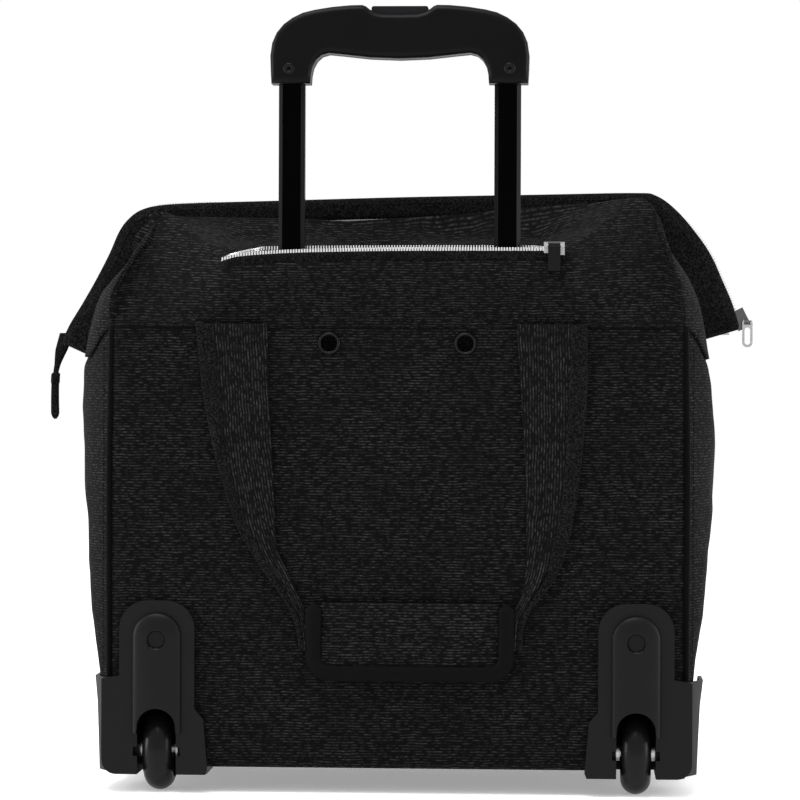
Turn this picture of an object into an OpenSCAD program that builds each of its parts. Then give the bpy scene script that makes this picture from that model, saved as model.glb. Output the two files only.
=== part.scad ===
// Soft rolling pilot case with a spring-frame mouth, a telescopic trolley handle and two wheels.
// Millimetres, +Z up. The origin is on the floor, under the middle of the case.
// The trolley side faces -Y and the carry side faces +Y.

/* [Case] */
// Width between the pipings of the rear panel
case_w = 390; // [376:1:400]
// Depth from the rear panel to the front panel
case_d = 210; // [206:1:220]
// Height of the base above the floor
base_z = 17; // [16:0.5:18]
// Height of the shoulder seam above the floor
seam_z = 317; // [312:1:322]
// How far the side gussets bulge past the piping
gusset_bulge = 27; // [24:1:27]

/* [Mouth] */
// Height of the closed mouth's ridge above the floor
ridge_z = 407; // [403:1:410]
// Height of the hinge line of the mouth frames
hinge_z = 297.5; // [297:0.5:298]
// Width of the padded band around the mouth
band_w = 20; // [18:1:22]

/* [Trolley handle] */
// Distance between the centres of the two tubes
tube_span = 146.8; // [144:0.2:148]
// Width of the inner tubes, the ones that show
tube_w = 18; // [17:0.5:18.5]
// Depth of the inner tubes, front to back
tube_d = 11; // [10.5:0.5:11.5]
// Height of the top of the grip above the floor, as the handle stands
grip_top_z = 534; // [530:0.5:536]
// Width of the grip
grip_w = 176; // [174:1:178]

/* [Wheels] */
// Diameter of the wheels
wheel_dia = 56; // [54:1:57]
// Width of the tyres
wheel_w = 21; // [20:0.5:22]
// Distance from the middle of the case to the middle of a wheel
wheel_x = 161.5; // [160:0.5:163]

/* [Carry handles] */
// Width of the padded handle wrap
wrap_w = 141; // [136:1:144]
// Height of the padded handle wrap
wrap_h = 53; // [50:1:54]

/* [Hidden] */

$fn = 48;

wall = 4;                                   // soft wall with its foam
gap = 0.3;                                  // space between pieces that don't touch
half_w = case_w / 2;
half_d = case_d / 2;
gusset_top = 294;
gusset_wall = 3;
gusset_y = half_d - wall - gap;             // where a gusset meets the panels
board_t = 2;
board_top = seam_z - 5;
piping_r = 2;

tube_y = -(half_d - 22.5);                  // plane of the trolley tubes
tube_x = tube_span / 2;
tube_wall = 1.2;
slide_gap = 0.3;
middle_w = tube_w + 2 * (tube_wall + slide_gap);
middle_d = tube_d + 2 * (tube_wall + slide_gap);
outer_w = middle_w + 2 * (tube_wall + slide_gap);
outer_d = middle_d + 2 * (tube_wall + slide_gap);
bracket_z = 24.6;
bracket_t = 3;
outer_top = 309;
middle_bottom = bracket_z + bracket_t + gap;
middle_top = 310;
inner_bottom = 193;
socket_z = grip_top_z - 53.6;               // lower ends of the grip
inner_top = socket_z + 14;
grip_d = 24;
rod_at = tube_x - 4.8;                      // release rods inside the tubes
screw_at = tube_x + 1.4;
screw_z = socket_z + 9.8;

ridge_half = 165.8;                         // half of the straight ridge, between the corner arcs
corner_r = 45;
corner_z = ridge_z - corner_r;
ear_slope = 26.57;                          // the ears' outward normal, above the horizontal
ear_len = 84;
eye_x = half_w + 1;                         // where the frames' eyes start, inside the side walls
eye_w = 4.4;
leg_z = 312;                                // the frames' legs turn in towards their eyes here
leg_x = 224;
slider_s = 66;                              // the mouth slider's distance down the right ear
ring_s = slider_s + 3.5;
ring_x = ridge_half + (corner_r + 3) * cos(ear_slope) + ring_s * sin(ear_slope);
ring_y = -8.6;                              // where the pull ring turns on the slider's lug
ring_z = corner_z + (corner_r + 3) * sin(ear_slope) - ring_s * cos(ear_slope);

zip_z = 366;                                // lower edge of the trolley zip's chain
zip_front_y = -half_d + 6;
zip_pin_y = -half_d - 1.4;                  // where the puller turns on its slider
zip_pin_z = zip_z + 4.5;
trolley_slider_x = 98.4;                    // left end of the trolley zip's slider

eyelet_x = 46;
eyelet_z = 304;
eyelet_r = 5;

wheel_r = wheel_dia / 2;
wheel_y = -(half_d - 17);
slot_w = 26.4;
housing_rear = -(half_d + 6);
axle_r = 3;
tyre_inner = 18;
screw_boss_z = 103.8;
running = 0.05;                             // radial clearance of a running fit

handle_y = half_d + 3;                      // inner face of a hanging carry handle's strap
strap_t = 2.8;
wrap_x = 9.5;                               // the wrap hangs a little off centre
wrap_z = 75;

// ---------- helpers ----------

function arc(cx, cy, r, a0, a1, n = 6) =
    [for (i = [0:n]) let (a = a0 + (a1 - a0) * i / n) [cx + r * cos(a), cy + r * sin(a)]];

function rounded(x0, y0, x1, y1, r) = concat(
    arc(x1 - r, y1 - r, r, 0, 90), arc(x0 + r, y1 - r, r, 90, 180),
    arc(x0 + r, y0 + r, r, 180, 270), arc(x1 - r, y0 + r, r, 270, 360));

function mirrored(points) = [for (i = [len(points) - 1:-1:0]) [-points[i][0], points[i][1]]];

// Extrudes a drawing of X and Z along Y, from y0 to y1
module along_y(y0, y1) {
    translate([0, y1, 0]) rotate([90, 0, 0]) linear_extrude(y1 - y0) children();
}

module box(low, high) {
    translate(low) cube(high - low);
}

module rod_x(x0, x1, y, z, r) {
    translate([x0, y, z]) rotate([0, 90, 0]) cylinder(r = r, h = x1 - x0);
}

module rod_y(y0, y1, x, z, r) {
    translate([x, y1, z]) rotate([90, 0, 0]) cylinder(r = r, h = y1 - y0);
}

module both_sides() {
    children();
    mirror([1, 0, 0]) children();
}

module both_y() {
    children();
    mirror([0, 1, 0]) children();
}

module to_side(side) {
    mirror([side < 0 ? 1 : 0, 0, 0]) children();
}

module to_front() {
    mirror([0, 1, 0]) children();
}

// ---------- soft case ----------

module panel(y0, y1) {
    along_y(y0, y1) polygon(rounded(-half_w + 4, base_z, half_w - 4, seam_z, 5));
}

module rear_panel() {
    color("#1d1d1f") difference() {
        panel(-half_d, -half_d + wall);
        both_sides() eyelet_hole(eyelet_r + 1.2);
        both_sides() wheel_well_space();
    }
}

module front_panel() {
    color("#1d1d1f") panel(half_d - wall, half_d);
}

module board(y0, y1) {
    difference() {
        box([-half_w + 7, y0, bracket_z + 0.4], [half_w - 7, y1, board_top]);
        both_sides() wheel_well_space();
    }
}

// Room that the wheel housings take inside the case
module wheel_well_space() {
    box([wheel_x - 20.5, -half_d - 1, base_z - 5], [wheel_x + 20.5, -half_d + 58, 68]);
}

module rear_board() {
    color("#2b2b2b") difference() {
        board(-half_d + wall + gap, -half_d + wall + gap + board_t);
        both_sides() eyelet_hole(eyelet_r + 1.2);
    }
}

module front_board() {
    color("#2b2b2b") box([-half_w + 7, half_d - wall - gap - board_t, bracket_z + 0.4],
                         [half_w - 7, half_d - wall - gap, board_top]);
}

// Bulged outline of a side wall: an arc in plan, and a barrel shape from the rear
module side_form(inset) {
    sagitta = gusset_bulge;
    r = (gusset_y * gusset_y + sagitta * sagitta) / (2 * sagitta);
    peak = half_w + sagitta - inset;
    intersection() {
        translate([half_w + sagitta - r, 0, 0]) cylinder(r = r - inset, h = 400);
        along_y(-150, 150) polygon([
            [0, 0], [peak - 23, 0], [peak - 20, 60], [peak - 16, 90], [peak - 10, 120],
            [peak - 3, 190], [peak, 235], [peak, 275], [peak - 2, 300], [0, 300]
        ]);
    }
}

module gusset(side) {
    color("#1b1b1d") to_side(side) intersection() {
        difference() {
            side_form(0);
            side_form(gusset_wall);
        }
        box([half_w - 15, -gusset_y, base_z], [half_w + 40, gusset_y, gusset_top]);
    }
}

module base_panel() {
    color("#19191b") difference() {
        intersection() {
            union() {
                side_form(gusset_wall + gap);
                mirror([1, 0, 0]) side_form(gusset_wall + gap);
            }
            box([-half_w - 20, -gusset_y, base_z], [half_w + 20, gusset_y, base_z + wall]);
        }
        both_sides() wheel_well_space();
    }
}

module base_board() {
    color("#2b2b2b") difference() {
        box([-half_w + 8, -half_d + 7, base_z + wall + gap],
            [half_w - 8, half_d - 7, bracket_z - gap / 2]);
        both_sides() wheel_well_space();
    }
}

module piping() {
    color("#101011") both_sides() translate([half_w - 1.7, -half_d + 2, base_z + 62])
        cylinder(r = piping_r, h = seam_z - base_z - 66);
}

module rear_piping() {
    piping();
}

module front_piping() {
    to_front() piping();
}

// A strip that runs along the ridge of the mouth and down both ears, between two distances
// inside the outer edge
function ear_half(inset) = concat(
    arc(ridge_half, corner_z, corner_r - inset, 90, ear_slope, 6),
    [[ridge_half + (corner_r - inset) * cos(ear_slope) + ear_len * sin(ear_slope),
      corner_z + (corner_r - inset) * sin(ear_slope) - ear_len * cos(ear_slope)]]);

module strip(outer, inner) {
    outer_half = ear_half(outer);
    inner_half = ear_half(inner);
    last = len(inner_half) - 1;
    polygon(concat(mirrored(outer_half), outer_half,
                   [for (i = [last:-1:0]) inner_half[i]],
                   [for (i = [0:last]) [-inner_half[i][0], inner_half[i][1]]]));
}

// Tent of cloth between the shoulder seam and the mouth, seen as one half
module tent(inset) {
    hull() {
        both_sides() {
            for (p = [[half_w, -half_d, gusset_top], [half_w + gusset_bulge, 0, gusset_top],
                      [half_w - 7, -half_d + 0.5, seam_z + 30], [half_w - 14, -half_d + 5, seam_z + 46],
                      [172, 0, ridge_z - 8]]) {
                translate([p[0] - inset, p[1] + (p[1] < -1 ? inset : 0), p[2] - (p[2] > 340 ? inset : 0)])
                    translate([-1, 0, -1]) cube([1, 1, 1]);
            }
        }
    }
}

module top_panel() {
    color("#1d1d1f") difference() {
        tent(0);
        tent(2.4);
        box([-300, -7.3, 200], [300, 20, 500]);
        box([-300, -200, 200], [300, -gusset_y, seam_z + gap]);
        box([-300, -200, 200], [300, 20, gusset_top + gap]);
    }
}

module rear_top_panel() {
    difference() {
        top_panel();
        box([-122, -half_d - 1, seam_z + 38], [133, -64, 420]);
    }
}

module front_top_panel() {
    to_front() top_panel();
}

module trolley_pocket_wall() {
    color("#151517") difference() {
        box([-half_w + 7, -68, bracket_z + 0.4], [half_w - 7, -66.5, seam_z + 40]);
        both_sides() wheel_well_space();
        both_sides() along_y(-90, -50) polygon([[half_w - 12, 280], [half_w + 10, 280],
            [half_w + 10, 420], [142, 420], [142, 352], [half_w - 12, 322]]);
    }
}

module side_seams() {
    color("#0f0f10") both_sides() {
        intersection() {
            difference() {
                side_form(-0.8);
                side_form(-gap / 2);
            }
            both_y() box([half_w - 10, -gusset_y + 8, base_z + 62],
                         [half_w + 40, -gusset_y + 10, gusset_top]);
        }
    }
}

// ---------- mouth ----------

module mouth_band() {
    color("#141415") along_y(-6.8, -4.2) strip(0, band_w);
}

module rear_mouth_band() {
    mouth_band();
}

module front_mouth_band() {
    to_front() mouth_band();
}

// Spring steel frame of one half of the mouth, with an eye at each end that turns on the pin
module mouth_frame(eye_at) {
    color("#9a9c9f") difference() {
        union() {
            difference() {
                along_y(-4.1, -2.1) strip(band_w - 8, band_w);
                box([-300, -10, 200], [300, 10, leg_z]);
            }
            both_sides() {
                box([eye_at, -4.1, leg_z], [leg_x, -2.1, leg_z + 6]);
                box([eye_at, -4.1, hinge_z], [eye_at + eye_w, -2.1, leg_z + 1]);
                rod_x(eye_at, eye_at + eye_w, 0, hinge_z, 4);
            }
        }
        both_sides() rod_x(eye_at - 1, eye_at + eye_w + 1, 0, hinge_z, 2 + running);
    }
}

module rear_mouth_frame() {
    mouth_frame(eye_x);
}

module front_mouth_frame() {
    to_front() mouth_frame(eye_x + eye_w + 0.4);
}

module mouth_frame_hinges() {
    plate_x = eye_x - 0.6;
    wall_x = half_w + gusset_bulge - 14;
    color("#85878a") both_sides() {
        box([plate_x - 1.6, -7, 284], [plate_x, 7, hinge_z + 3.5]);
        box([plate_x - 0.1, -7, 284], [wall_x, 7, 285.6]);
        rod_x(plate_x, eye_x + 2 * eye_w + 0.8, 0, hinge_z, 2);
        rod_x(eye_x + 2 * eye_w + 0.8, eye_x + 2 * eye_w + 2.4, 0, hinge_z, 3.4);
    }
}

module mouth_zip_row() {
    color("#b9bbbe") along_y(-1.4, -0.2) strip(-1.5, 9);
}

module rear_mouth_zip_row() {
    mouth_zip_row();
}

module front_mouth_zip_row() {
    to_front() mouth_zip_row();
}

module mouth_zip_tail_tab() {
    color("#141415") along_y(-1.9, 1.9)
        polygon([[-243.5, 306.5], [-237, 303.2], [-239, 296], [-243.5, 286], [-244.5, 252], [-246.5, 250],
                 [-249, 250], [-251, 252], [-251, 288], [-247.5, 300]]);
}

// Draws its children along the right ear's outer edge: +X down the edge, +Z outwards
module on_ear(s) {
    start = [ridge_half + corner_r * cos(ear_slope), 0, corner_z + corner_r * sin(ear_slope)];
    along = [sin(ear_slope), 0, -cos(ear_slope)];
    translate(start + s * along) rotate([0, 90 - ear_slope, 0]) children();
}

module mouth_zip_slider() {
    color("#222224") {
        on_ear(slider_s) {
            box([-7, -3.8, 1.9], [7, 3.8, 4.6]);
            both_y() box([-7, 1.7, -5], [7, 3.8, 2.2]);
            box([2, -8, 2.2], [5, -3.7, 4.4]);
        }
        rod_x(ring_x - 2.6, ring_x + 2.6, ring_y, ring_z, 0.8);
    }
}

module mouth_zip_pull_ring() {
    color("#b9bbbe") difference() {
        along_y(ring_y - 0.9, ring_y + 0.9)
            polygon(rounded(ring_x - 3.6, ring_z - 18, ring_x + 3.6, ring_z + 2.2, 3.4));
        along_y(ring_y - 2, ring_y + 2)
            polygon(rounded(ring_x - 2, ring_z - 16.2, ring_x + 2, ring_z - 4.2, 1.9));
        rod_x(ring_x - 9, ring_x + 9, ring_y, ring_z, 0.8 + running);
        box([ring_x - 2.4, ring_y - 2, ring_z - 2.2], [ring_x + 2.4, ring_y + 2, ring_z + 5]);
    }
}

// ---------- trolley zip ----------

module trolley_zip_front_row() {
    color("#b9bbbe") {
        box([-118, zip_front_y - 1, zip_z], [100, zip_front_y + 1.2, zip_z + 3]);
        box([-118, zip_front_y - 1.6, zip_z - 11], [131, zip_front_y - 0.6, zip_z]);
        box([118, zip_front_y - 1, zip_z], [131, zip_front_y + 2, zip_z + 3]);
    }
}

// The back row swings around both tubes and meets the front row at its ends
module trolley_zip_back_row() {
    module path(inset) {
        polygon([[-118, zip_front_y + 2 + inset], [-94, -65 - inset], [90, -65 - inset],
                 [101, zip_front_y + 2 + inset], [98, zip_front_y + 2 + inset], [88, -68 + inset],
                 [-92, -68 + inset], [-114, zip_front_y + 2 + inset]]);
    }
    color("#b9bbbe") {
        translate([0, 0, zip_z + 2]) linear_extrude(3) path(0);
    }
}

module trolley_zip_slider() {
    color("#1a1a1c") {
        translate([trolley_slider_x, 0, 0]) {
            box([0, zip_front_y - 2.4, zip_z - 2], [14, zip_front_y - 1.9, zip_z + 6]);
            box([0, zip_front_y - 2.4, zip_z + 5.6], [14, zip_front_y + 5, zip_z + 6.8]);
            both_ends()
                box([0.1, zip_pin_y - 1.2, zip_pin_z - 1.4], [2.5, zip_front_y - 2.2, zip_pin_z + 1.4]);
            rod_x(0.5, 13.5, zip_pin_y, zip_pin_z, 0.8);
        }
    }
}

// Repeats a piece at both ends of the trolley zip's slider
module both_ends() {
    children();
    translate([11.4, 0, 0]) children();
}

module trolley_zip_puller() {
    color("#1a1a1c") translate([trolley_slider_x, 0, 0]) difference() {
        union() {
            along_y(zip_pin_y - 1, zip_pin_y + 1)
                polygon(rounded(2.9, zip_z - 13, 11.1, zip_pin_z, 1.5));
            rod_x(2.9, 11.1, zip_pin_y, zip_pin_z, 1.8);
        }
        rod_x(-1, 15, zip_pin_y, zip_pin_z, 0.8 + running);
    }
}

// ---------- trolley handle ----------

// Tube section with its corners cut off
module tube_section(w, d, cut) {
    x = w / 2;
    y = d / 2;
    polygon([[x - cut, -y], [x, -y + cut], [x, y - cut], [x - cut, y],
             [-x + cut, y], [-x, y - cut], [-x, -y + cut], [-x + cut, -y]]);
}

module tube(w, d, z0, z1, cut, t = tube_wall) {
    translate([tube_x, tube_y, z0]) linear_extrude(z1 - z0) difference() {
        tube_section(w, d, cut);
        tube_section(w - 2 * t, d - 2 * t, max(cut - 0.5, 0.5));
    }
}

module trolley_foot_bracket() {
    color("#7f8184") box([-tube_x - 18, tube_y - 9.5, bracket_z],
                         [tube_x + 18, tube_y + 9.5, bracket_z + bracket_t]);
}

module trolley_tube_clamp() {
    color("#232325") box([-tube_x - 16, -half_d + wall + 2 * gap + board_t, 262],
                         [tube_x + 16, tube_y - outer_d / 2, 290]);
}

module outer_tubes() {
    color("#7f8184") both_sides() tube(outer_w, outer_d, bracket_z + bracket_t, outer_top, 3.5);
}

module outer_tube_collars() {
    color("#19191b") both_sides() difference() {
        translate([tube_x, tube_y, outer_top - 9]) linear_extrude(12.5)
            tube_section(outer_w + 3.4, outer_d + 3.4, 4);
        translate([tube_x, tube_y, outer_top - 10]) linear_extrude(10) tube_section(outer_w, outer_d, 3.5);
        translate([tube_x, tube_y, outer_top - 1]) linear_extrude(8)
            tube_section(middle_w + 2 * slide_gap, middle_d + 2 * slide_gap, 2.8);
    }
}

module middle_tubes() {
    color("#0c0c0d") both_sides() tube(middle_w, middle_d, middle_bottom, middle_top, 3);
}

module middle_tube_bushings() {
    color("#19191b") both_sides() tube(middle_w, middle_d, middle_top, middle_top + 3, 3);
}

module inner_tubes() {
    color("#0c0c0d") difference() {
        both_sides() tube(tube_w, tube_d, inner_bottom, inner_top, 2.7);
        both_sides() screw_hole(2);
    }
}

module inner_tube_plugs() {
    color("#2a2a2c") both_sides() difference() {
        translate([tube_x, tube_y, inner_bottom + 0.2]) linear_extrude(14)
            tube_section(tube_w - 2 * tube_wall, tube_d - 2 * tube_wall, 2.2);
        translate([rod_at, tube_y, 0]) cylinder(r = 1.9, h = 400);
    }
}

// ---------- grip ----------

module screw_hole(r) {
    rod_y(tube_y - 20, tube_y + 20, screw_at, screw_z, r);
}

// Outline of the grip from the rear, with the notch for the release button
module grip_outline() {
    g = grip_w / 2;
    t = grip_top_z;
    right = [[18, t - 5.2], [21, t - 3.6], [23.3, t], [46, t - 1.6], [65, t - 4.6], [72, t - 8.2],
             [78.5, t - 13.2], [83.6, t - 19], [86.6, t - 25], [g, t - 34.5], [g - 0.8, socket_z],
             [60.6, socket_z], [60, socket_z + 9], [57, socket_z + 15.8], [52.5, socket_z + 19.6],
             [48, socket_z + 20.6], [0, socket_z + 16.8]];
    polygon(concat(right, mirrored(right)));
}

module grip_cavity() {
    t = grip_top_z;
    right = [[0, t - 8], [62, t - 8], [75, t - 14.5], [83, t - 26], [83, socket_z + 14.3],
             [63, socket_z + 14.3], [60, socket_z + 23.5], [0, socket_z + 23.5]];
    along_y(tube_y - grip_d / 2 + 2.4, tube_y + grip_d / 2 - 2.4) polygon(concat(right, mirrored(right)));
}

module grip() {
    difference() {
        along_y(tube_y - grip_d / 2, tube_y + grip_d / 2) grip_outline();
        grip_cavity();
        both_sides() translate([tube_x, tube_y, socket_z - 1]) linear_extrude(16)
            tube_section(tube_w, tube_d, 2.7);
        box([-19.6, tube_y - 6, grip_top_z - 20], [19.6, tube_y + 6, grip_top_z + 2]);
        both_sides() screw_hole(2);
        both_sides() rod_y(tube_y - 20, tube_y - grip_d / 2 + 2.4, screw_at, screw_z, 3.6);
    }
}

module grip_rear_shell() {
    color("#26262a") intersection() {
        grip();
        box([-100, tube_y - 30, 400], [100, tube_y - 0.05, 600]);
    }
}

module grip_front_shell() {
    color("#26262a") intersection() {
        grip();
        box([-100, tube_y + 0.05, 400], [100, tube_y + 30, 600]);
    }
}

module grip_screws() {
    color("#2c2c2f") both_sides() difference() {
        union() {
            rod_y(tube_y - grip_d / 2 + 0.3, tube_y - grip_d / 2 + 2.4, screw_at, screw_z, 3.4);
            rod_y(tube_y - grip_d / 2 + 2, tube_y + grip_d / 2 - 2.6, screw_at, screw_z, 1.9);
        }
        along_y(tube_y - 20, tube_y - grip_d / 2 + 1.7) translate([screw_at, screw_z])
            circle(r = 1.7, $fn = 6);
    }
}

module release_button() {
    color("#1b1b1d") {
        along_y(tube_y - 5.7, tube_y + 5.7)
            polygon(rounded(-19.3, grip_top_z - 16, 19.3, grip_top_z - 0.8, 1.6));
        box([-rod_at - 4, tube_y - 3.4, grip_top_z - 22.5], [rod_at + 4, tube_y + 3.4, grip_top_z - 16.2]);
    }
}

module release_rods() {
    color("#8f9194") both_sides() translate([rod_at, tube_y, inner_bottom + 6])
        cylinder(r = 1.5, h = grip_top_z - 22.5 - inner_bottom - 6);
}

module release_springs() {
    z0 = socket_z + 23.6;
    color("#a0a2a5") both_sides() translate([30, tube_y, z0])
        linear_extrude(grip_top_z - 22.7 - z0, twist = -360 * 4, slices = 64) translate([2.6, 0])
            circle(r = 0.45, $fn = 8);
}

// ---------- wheels ----------

module wheel_slot() {
    box([wheel_x - slot_w / 2, -half_d - 20, -1], [wheel_x + slot_w / 2, -half_d + 50, 44]);
    along_y(-half_d - 20, -half_d + 50) translate([wheel_x, 44]) intersection() {
        circle(r = slot_w / 2);
        translate([-20, -1]) square([40, 30]);
    }
    // The slot widens beside the axle
    rod_x(wheel_x - 16, wheel_x + 16, -half_d - 2, wheel_r, 5);
}

module wheel_housing(side) {
    skin_y = -half_d - gap;
    inner_x = wheel_x - 34.5;
    outer_x = half_w + 4;
    color("#2a2a2e") to_side(side) difference() {
        union() {
            // Rear skin with its round tongue, and the raised fender over the wheel
            along_y(housing_rear, skin_y) polygon(concat(
                arc(wheel_x + 6.5, 111, 19, 0, 90, 8), arc(wheel_x - 6.5, 111, 19, 90, 180, 8),
                [[wheel_x - 25.5, 57], [wheel_x - 31.5, 50], [inner_x, 16], [inner_x + 1.5, 12.5]],
                arc(outer_x - 10, 22.5, 10, 270, 360),
                [[outer_x, 77], [wheel_x + 25.5, 79]]));
            along_y(housing_rear - 2.6, housing_rear + 0.1) polygon(concat(
                arc(wheel_x, 105.5, 16.2, 0, 180, 16), [[wheel_x - 16.2, 40], [wheel_x + 16.2, 40]]));
            // Sole under the base, with the side wall that follows the gusset
            box([inner_x + 1, skin_y - 0.1, 12.5], [half_w - 1, -half_d + 56, base_z - gap]);
            intersection() {
                difference() {
                    side_form(-2.9);
                    side_form(-gap);
                }
                box([half_w - 12, skin_y - 0.1, 14], [half_w + 20, -half_d + 56, 77]);
            }
            // Well around the wheel
            along_y(skin_y - 0.1, -half_d + 54) polygon(concat(
                arc(wheel_x, 46, 17.5, 0, 180, 12), [[wheel_x - 17.5, 14], [wheel_x + 17.5, 14]]));
        }
        wheel_slot();
        rod_x(wheel_x - 30, wheel_x + 30, wheel_y, wheel_r, axle_r + running);
        rod_y(housing_rear - 3, housing_rear - 1, wheel_x, screw_boss_z, 6.2);
        rod_y(housing_rear - 3, -half_d + 1, wheel_x, screw_boss_z, 2);
    }
}

module housing_screws() {
    color("#3a3a3e") both_sides() {
        rod_y(housing_rear - 2.2, housing_rear - 1, wheel_x, screw_boss_z, 5.4);
        rod_y(housing_rear - 1.1, -half_d - gap, wheel_x, screw_boss_z, 1.8);
    }
}

module wheel_axles() {
    color("#c4c6c8") both_sides() rod_x(wheel_x - 17.2, wheel_x + 17.2, wheel_y, wheel_r, axle_r);
}

module axle_washers() {
    color("#d0d2d4") both_sides() difference() {
        union() {
            rod_x(wheel_x - slot_w / 2 + 0.1, wheel_x - wheel_w / 2 - 0.2, wheel_y, wheel_r, 5.6);
            rod_x(wheel_x + wheel_w / 2 + 0.2, wheel_x + slot_w / 2 - 0.1, wheel_y, wheel_r, 5.6);
        }
        rod_x(wheel_x - 30, wheel_x + 30, wheel_y, wheel_r, axle_r + running);
    }
}

module wheel_place(side) {
    to_side(side) translate([wheel_x, wheel_y, wheel_r]) rotate([0, 90, 0]) children();
}

module wheel_hub(side) {
    bearing = 7.5;
    color("#3c3c40") wheel_place(side) rotate_extrude() polygon([
        [bearing, -8.5], [11, -8.5], [12.5, -3], [15.5, -3], [16.4, -7.5], [tyre_inner, -7.5],
        [tyre_inner, 7.5], [16.4, 7.5], [15.5, 3], [12.5, 3], [11, 8.5], [bearing, 8.5]]);
}

module tyre(side) {
    h = wheel_w / 2;
    color("#121213") wheel_place(side) rotate_extrude() polygon(concat(
        [[tyre_inner + running, -7.5], [tyre_inner + running, 7.5], [tyre_inner + 0.6, 8.8]],
        [for (i = [8:-1:-8]) let (a = i * 10) [wheel_r - h + h * cos(a), h * sin(a)]],
        [[tyre_inner + 0.6, -8.8]]));
}

module wheel_bearings(side) {
    color("#aeb0b3") wheel_place(side) for (z = [-8.4, 3.4]) {
        translate([0, 0, z]) rotate_extrude() polygon([
            [axle_r + running, 0], [7.5, 0], [7.5, 5], [axle_r + running, 5]]);
    }
}

module front_foot(side) {
    color("#232326") to_side(side) translate([wheel_x - 12, half_d - 26, 0])
        intersection() {
            linear_extrude(base_z - gap) polygon(rounded(-22, -10, 22, 10, 6));
            along_y(-30, 30) polygon([[-19, 0], [19, 0], [23, base_z], [-23, base_z]]);
        }
}

// ---------- fittings ----------

module eyelet_hole(r) {
    rod_y(-half_d - 3, -half_d + 10, eyelet_x, eyelet_z, r);
}

module rear_eyelets() {
    color("#5c5e61") both_sides() difference() {
        union() {
            rod_y(-half_d - 1.4, -half_d - 0.05, eyelet_x, eyelet_z, 7.8);
            rod_y(-half_d - 0.1, -half_d + wall, eyelet_x, eyelet_z, eyelet_r + 1.1);
        }
        eyelet_hole(eyelet_r);
    }
}

// ---------- carry handles ----------

module handle_straps() {
    color("#1d1d1f") {
        along_y(-handle_y - strap_t, -handle_y) {
            polygon([[-135, seam_z - 2], [-88, seam_z - 2], [-86.5, 233], [-82, 165], [-62, 118],
                     [-54, 110], [73, 110], [81, 120], [88, 150], [88, 200], [83, 258], [81, seam_z - 2],
                     [128, seam_z - 2], [128, 258], [122, 200], [112, 160], [94, 118], [84, 93],
                     [-64, 93], [-74, 118], [-98, 162], [-112, 192], [-124, 233], [-131, 270]]);
        }
        rod_x(-135, -88, -handle_y - strap_t / 2, seam_z - 2, strap_t / 2);
        rod_x(81, 128, -handle_y - strap_t / 2, seam_z - 2, strap_t / 2);
    }
}

module handle_wrap() {
    color("#222224") difference() {
        along_y(-handle_y - 10, -handle_y + 2)
            polygon(rounded(wrap_x - wrap_w / 2, wrap_z, wrap_x + wrap_w / 2, wrap_z + wrap_h, 12));
        box([wrap_x - 100, -handle_y - strap_t - 0.2, 91.5], [wrap_x + 100, -handle_y + 0.2, 111.5]);
        along_y(-handle_y - strap_t - 0.2, -handle_y + 0.2) polygon([
            [-60, 92], [-78, 130], [-62, 140], [-40, 108]]);
        along_y(-handle_y - strap_t - 0.2, -handle_y + 0.2) polygon([
            [79, 92], [100, 130], [80, 140], [62, 108]]);
    }
}

module rear_handle_straps() {
    handle_straps();
}

module rear_handle_wrap() {
    handle_wrap();
}

module front_handle_straps() {
    to_front() handle_straps();
}

module front_handle_wrap() {
    to_front() handle_wrap();
}

rear_panel();
rear_board();
front_panel();
front_board();
gusset(-1);  // left_gusset
gusset(1);  // right_gusset
base_panel();
base_board();
rear_piping();
front_piping();
rear_top_panel();
front_top_panel();
trolley_pocket_wall();
rear_mouth_band();
front_mouth_band();
rear_mouth_frame();
front_mouth_frame();
mouth_frame_hinges();
rear_mouth_zip_row();
front_mouth_zip_row();
mouth_zip_tail_tab();
mouth_zip_slider();
mouth_zip_pull_ring();
trolley_zip_front_row();
trolley_zip_back_row();
trolley_zip_slider();
trolley_zip_puller();
trolley_foot_bracket();
trolley_tube_clamp();
outer_tubes();
outer_tube_collars();
middle_tubes();
middle_tube_bushings();
inner_tubes();
inner_tube_plugs();
grip_rear_shell();
grip_front_shell();
grip_screws();
release_button();
release_rods();
release_springs();
wheel_housing(-1);  // left_wheel_housing
wheel_housing(1);  // right_wheel_housing
housing_screws();
wheel_axles();
axle_washers();
wheel_hub(-1);  // left_wheel_hub
wheel_hub(1);  // right_wheel_hub
tyre(-1);  // left_tyre
tyre(1);  // right_tyre
wheel_bearings(-1);  // left_wheel_bearings
wheel_bearings(1);  // right_wheel_bearings
front_foot(-1);  // left_front_foot
front_foot(1);  // right_front_foot
rear_eyelets();
rear_handle_straps();
rear_handle_wrap();
front_handle_straps();
front_handle_wrap();
side_seams();
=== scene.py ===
"""Looks of the rolling pilot case: cloth, straps, zips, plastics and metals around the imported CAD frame.
Metres, +Z up. The trolley side faces -Y."""
import math
import bmesh
import bpy
import numpy as np
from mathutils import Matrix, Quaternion, Vector, noise


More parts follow.
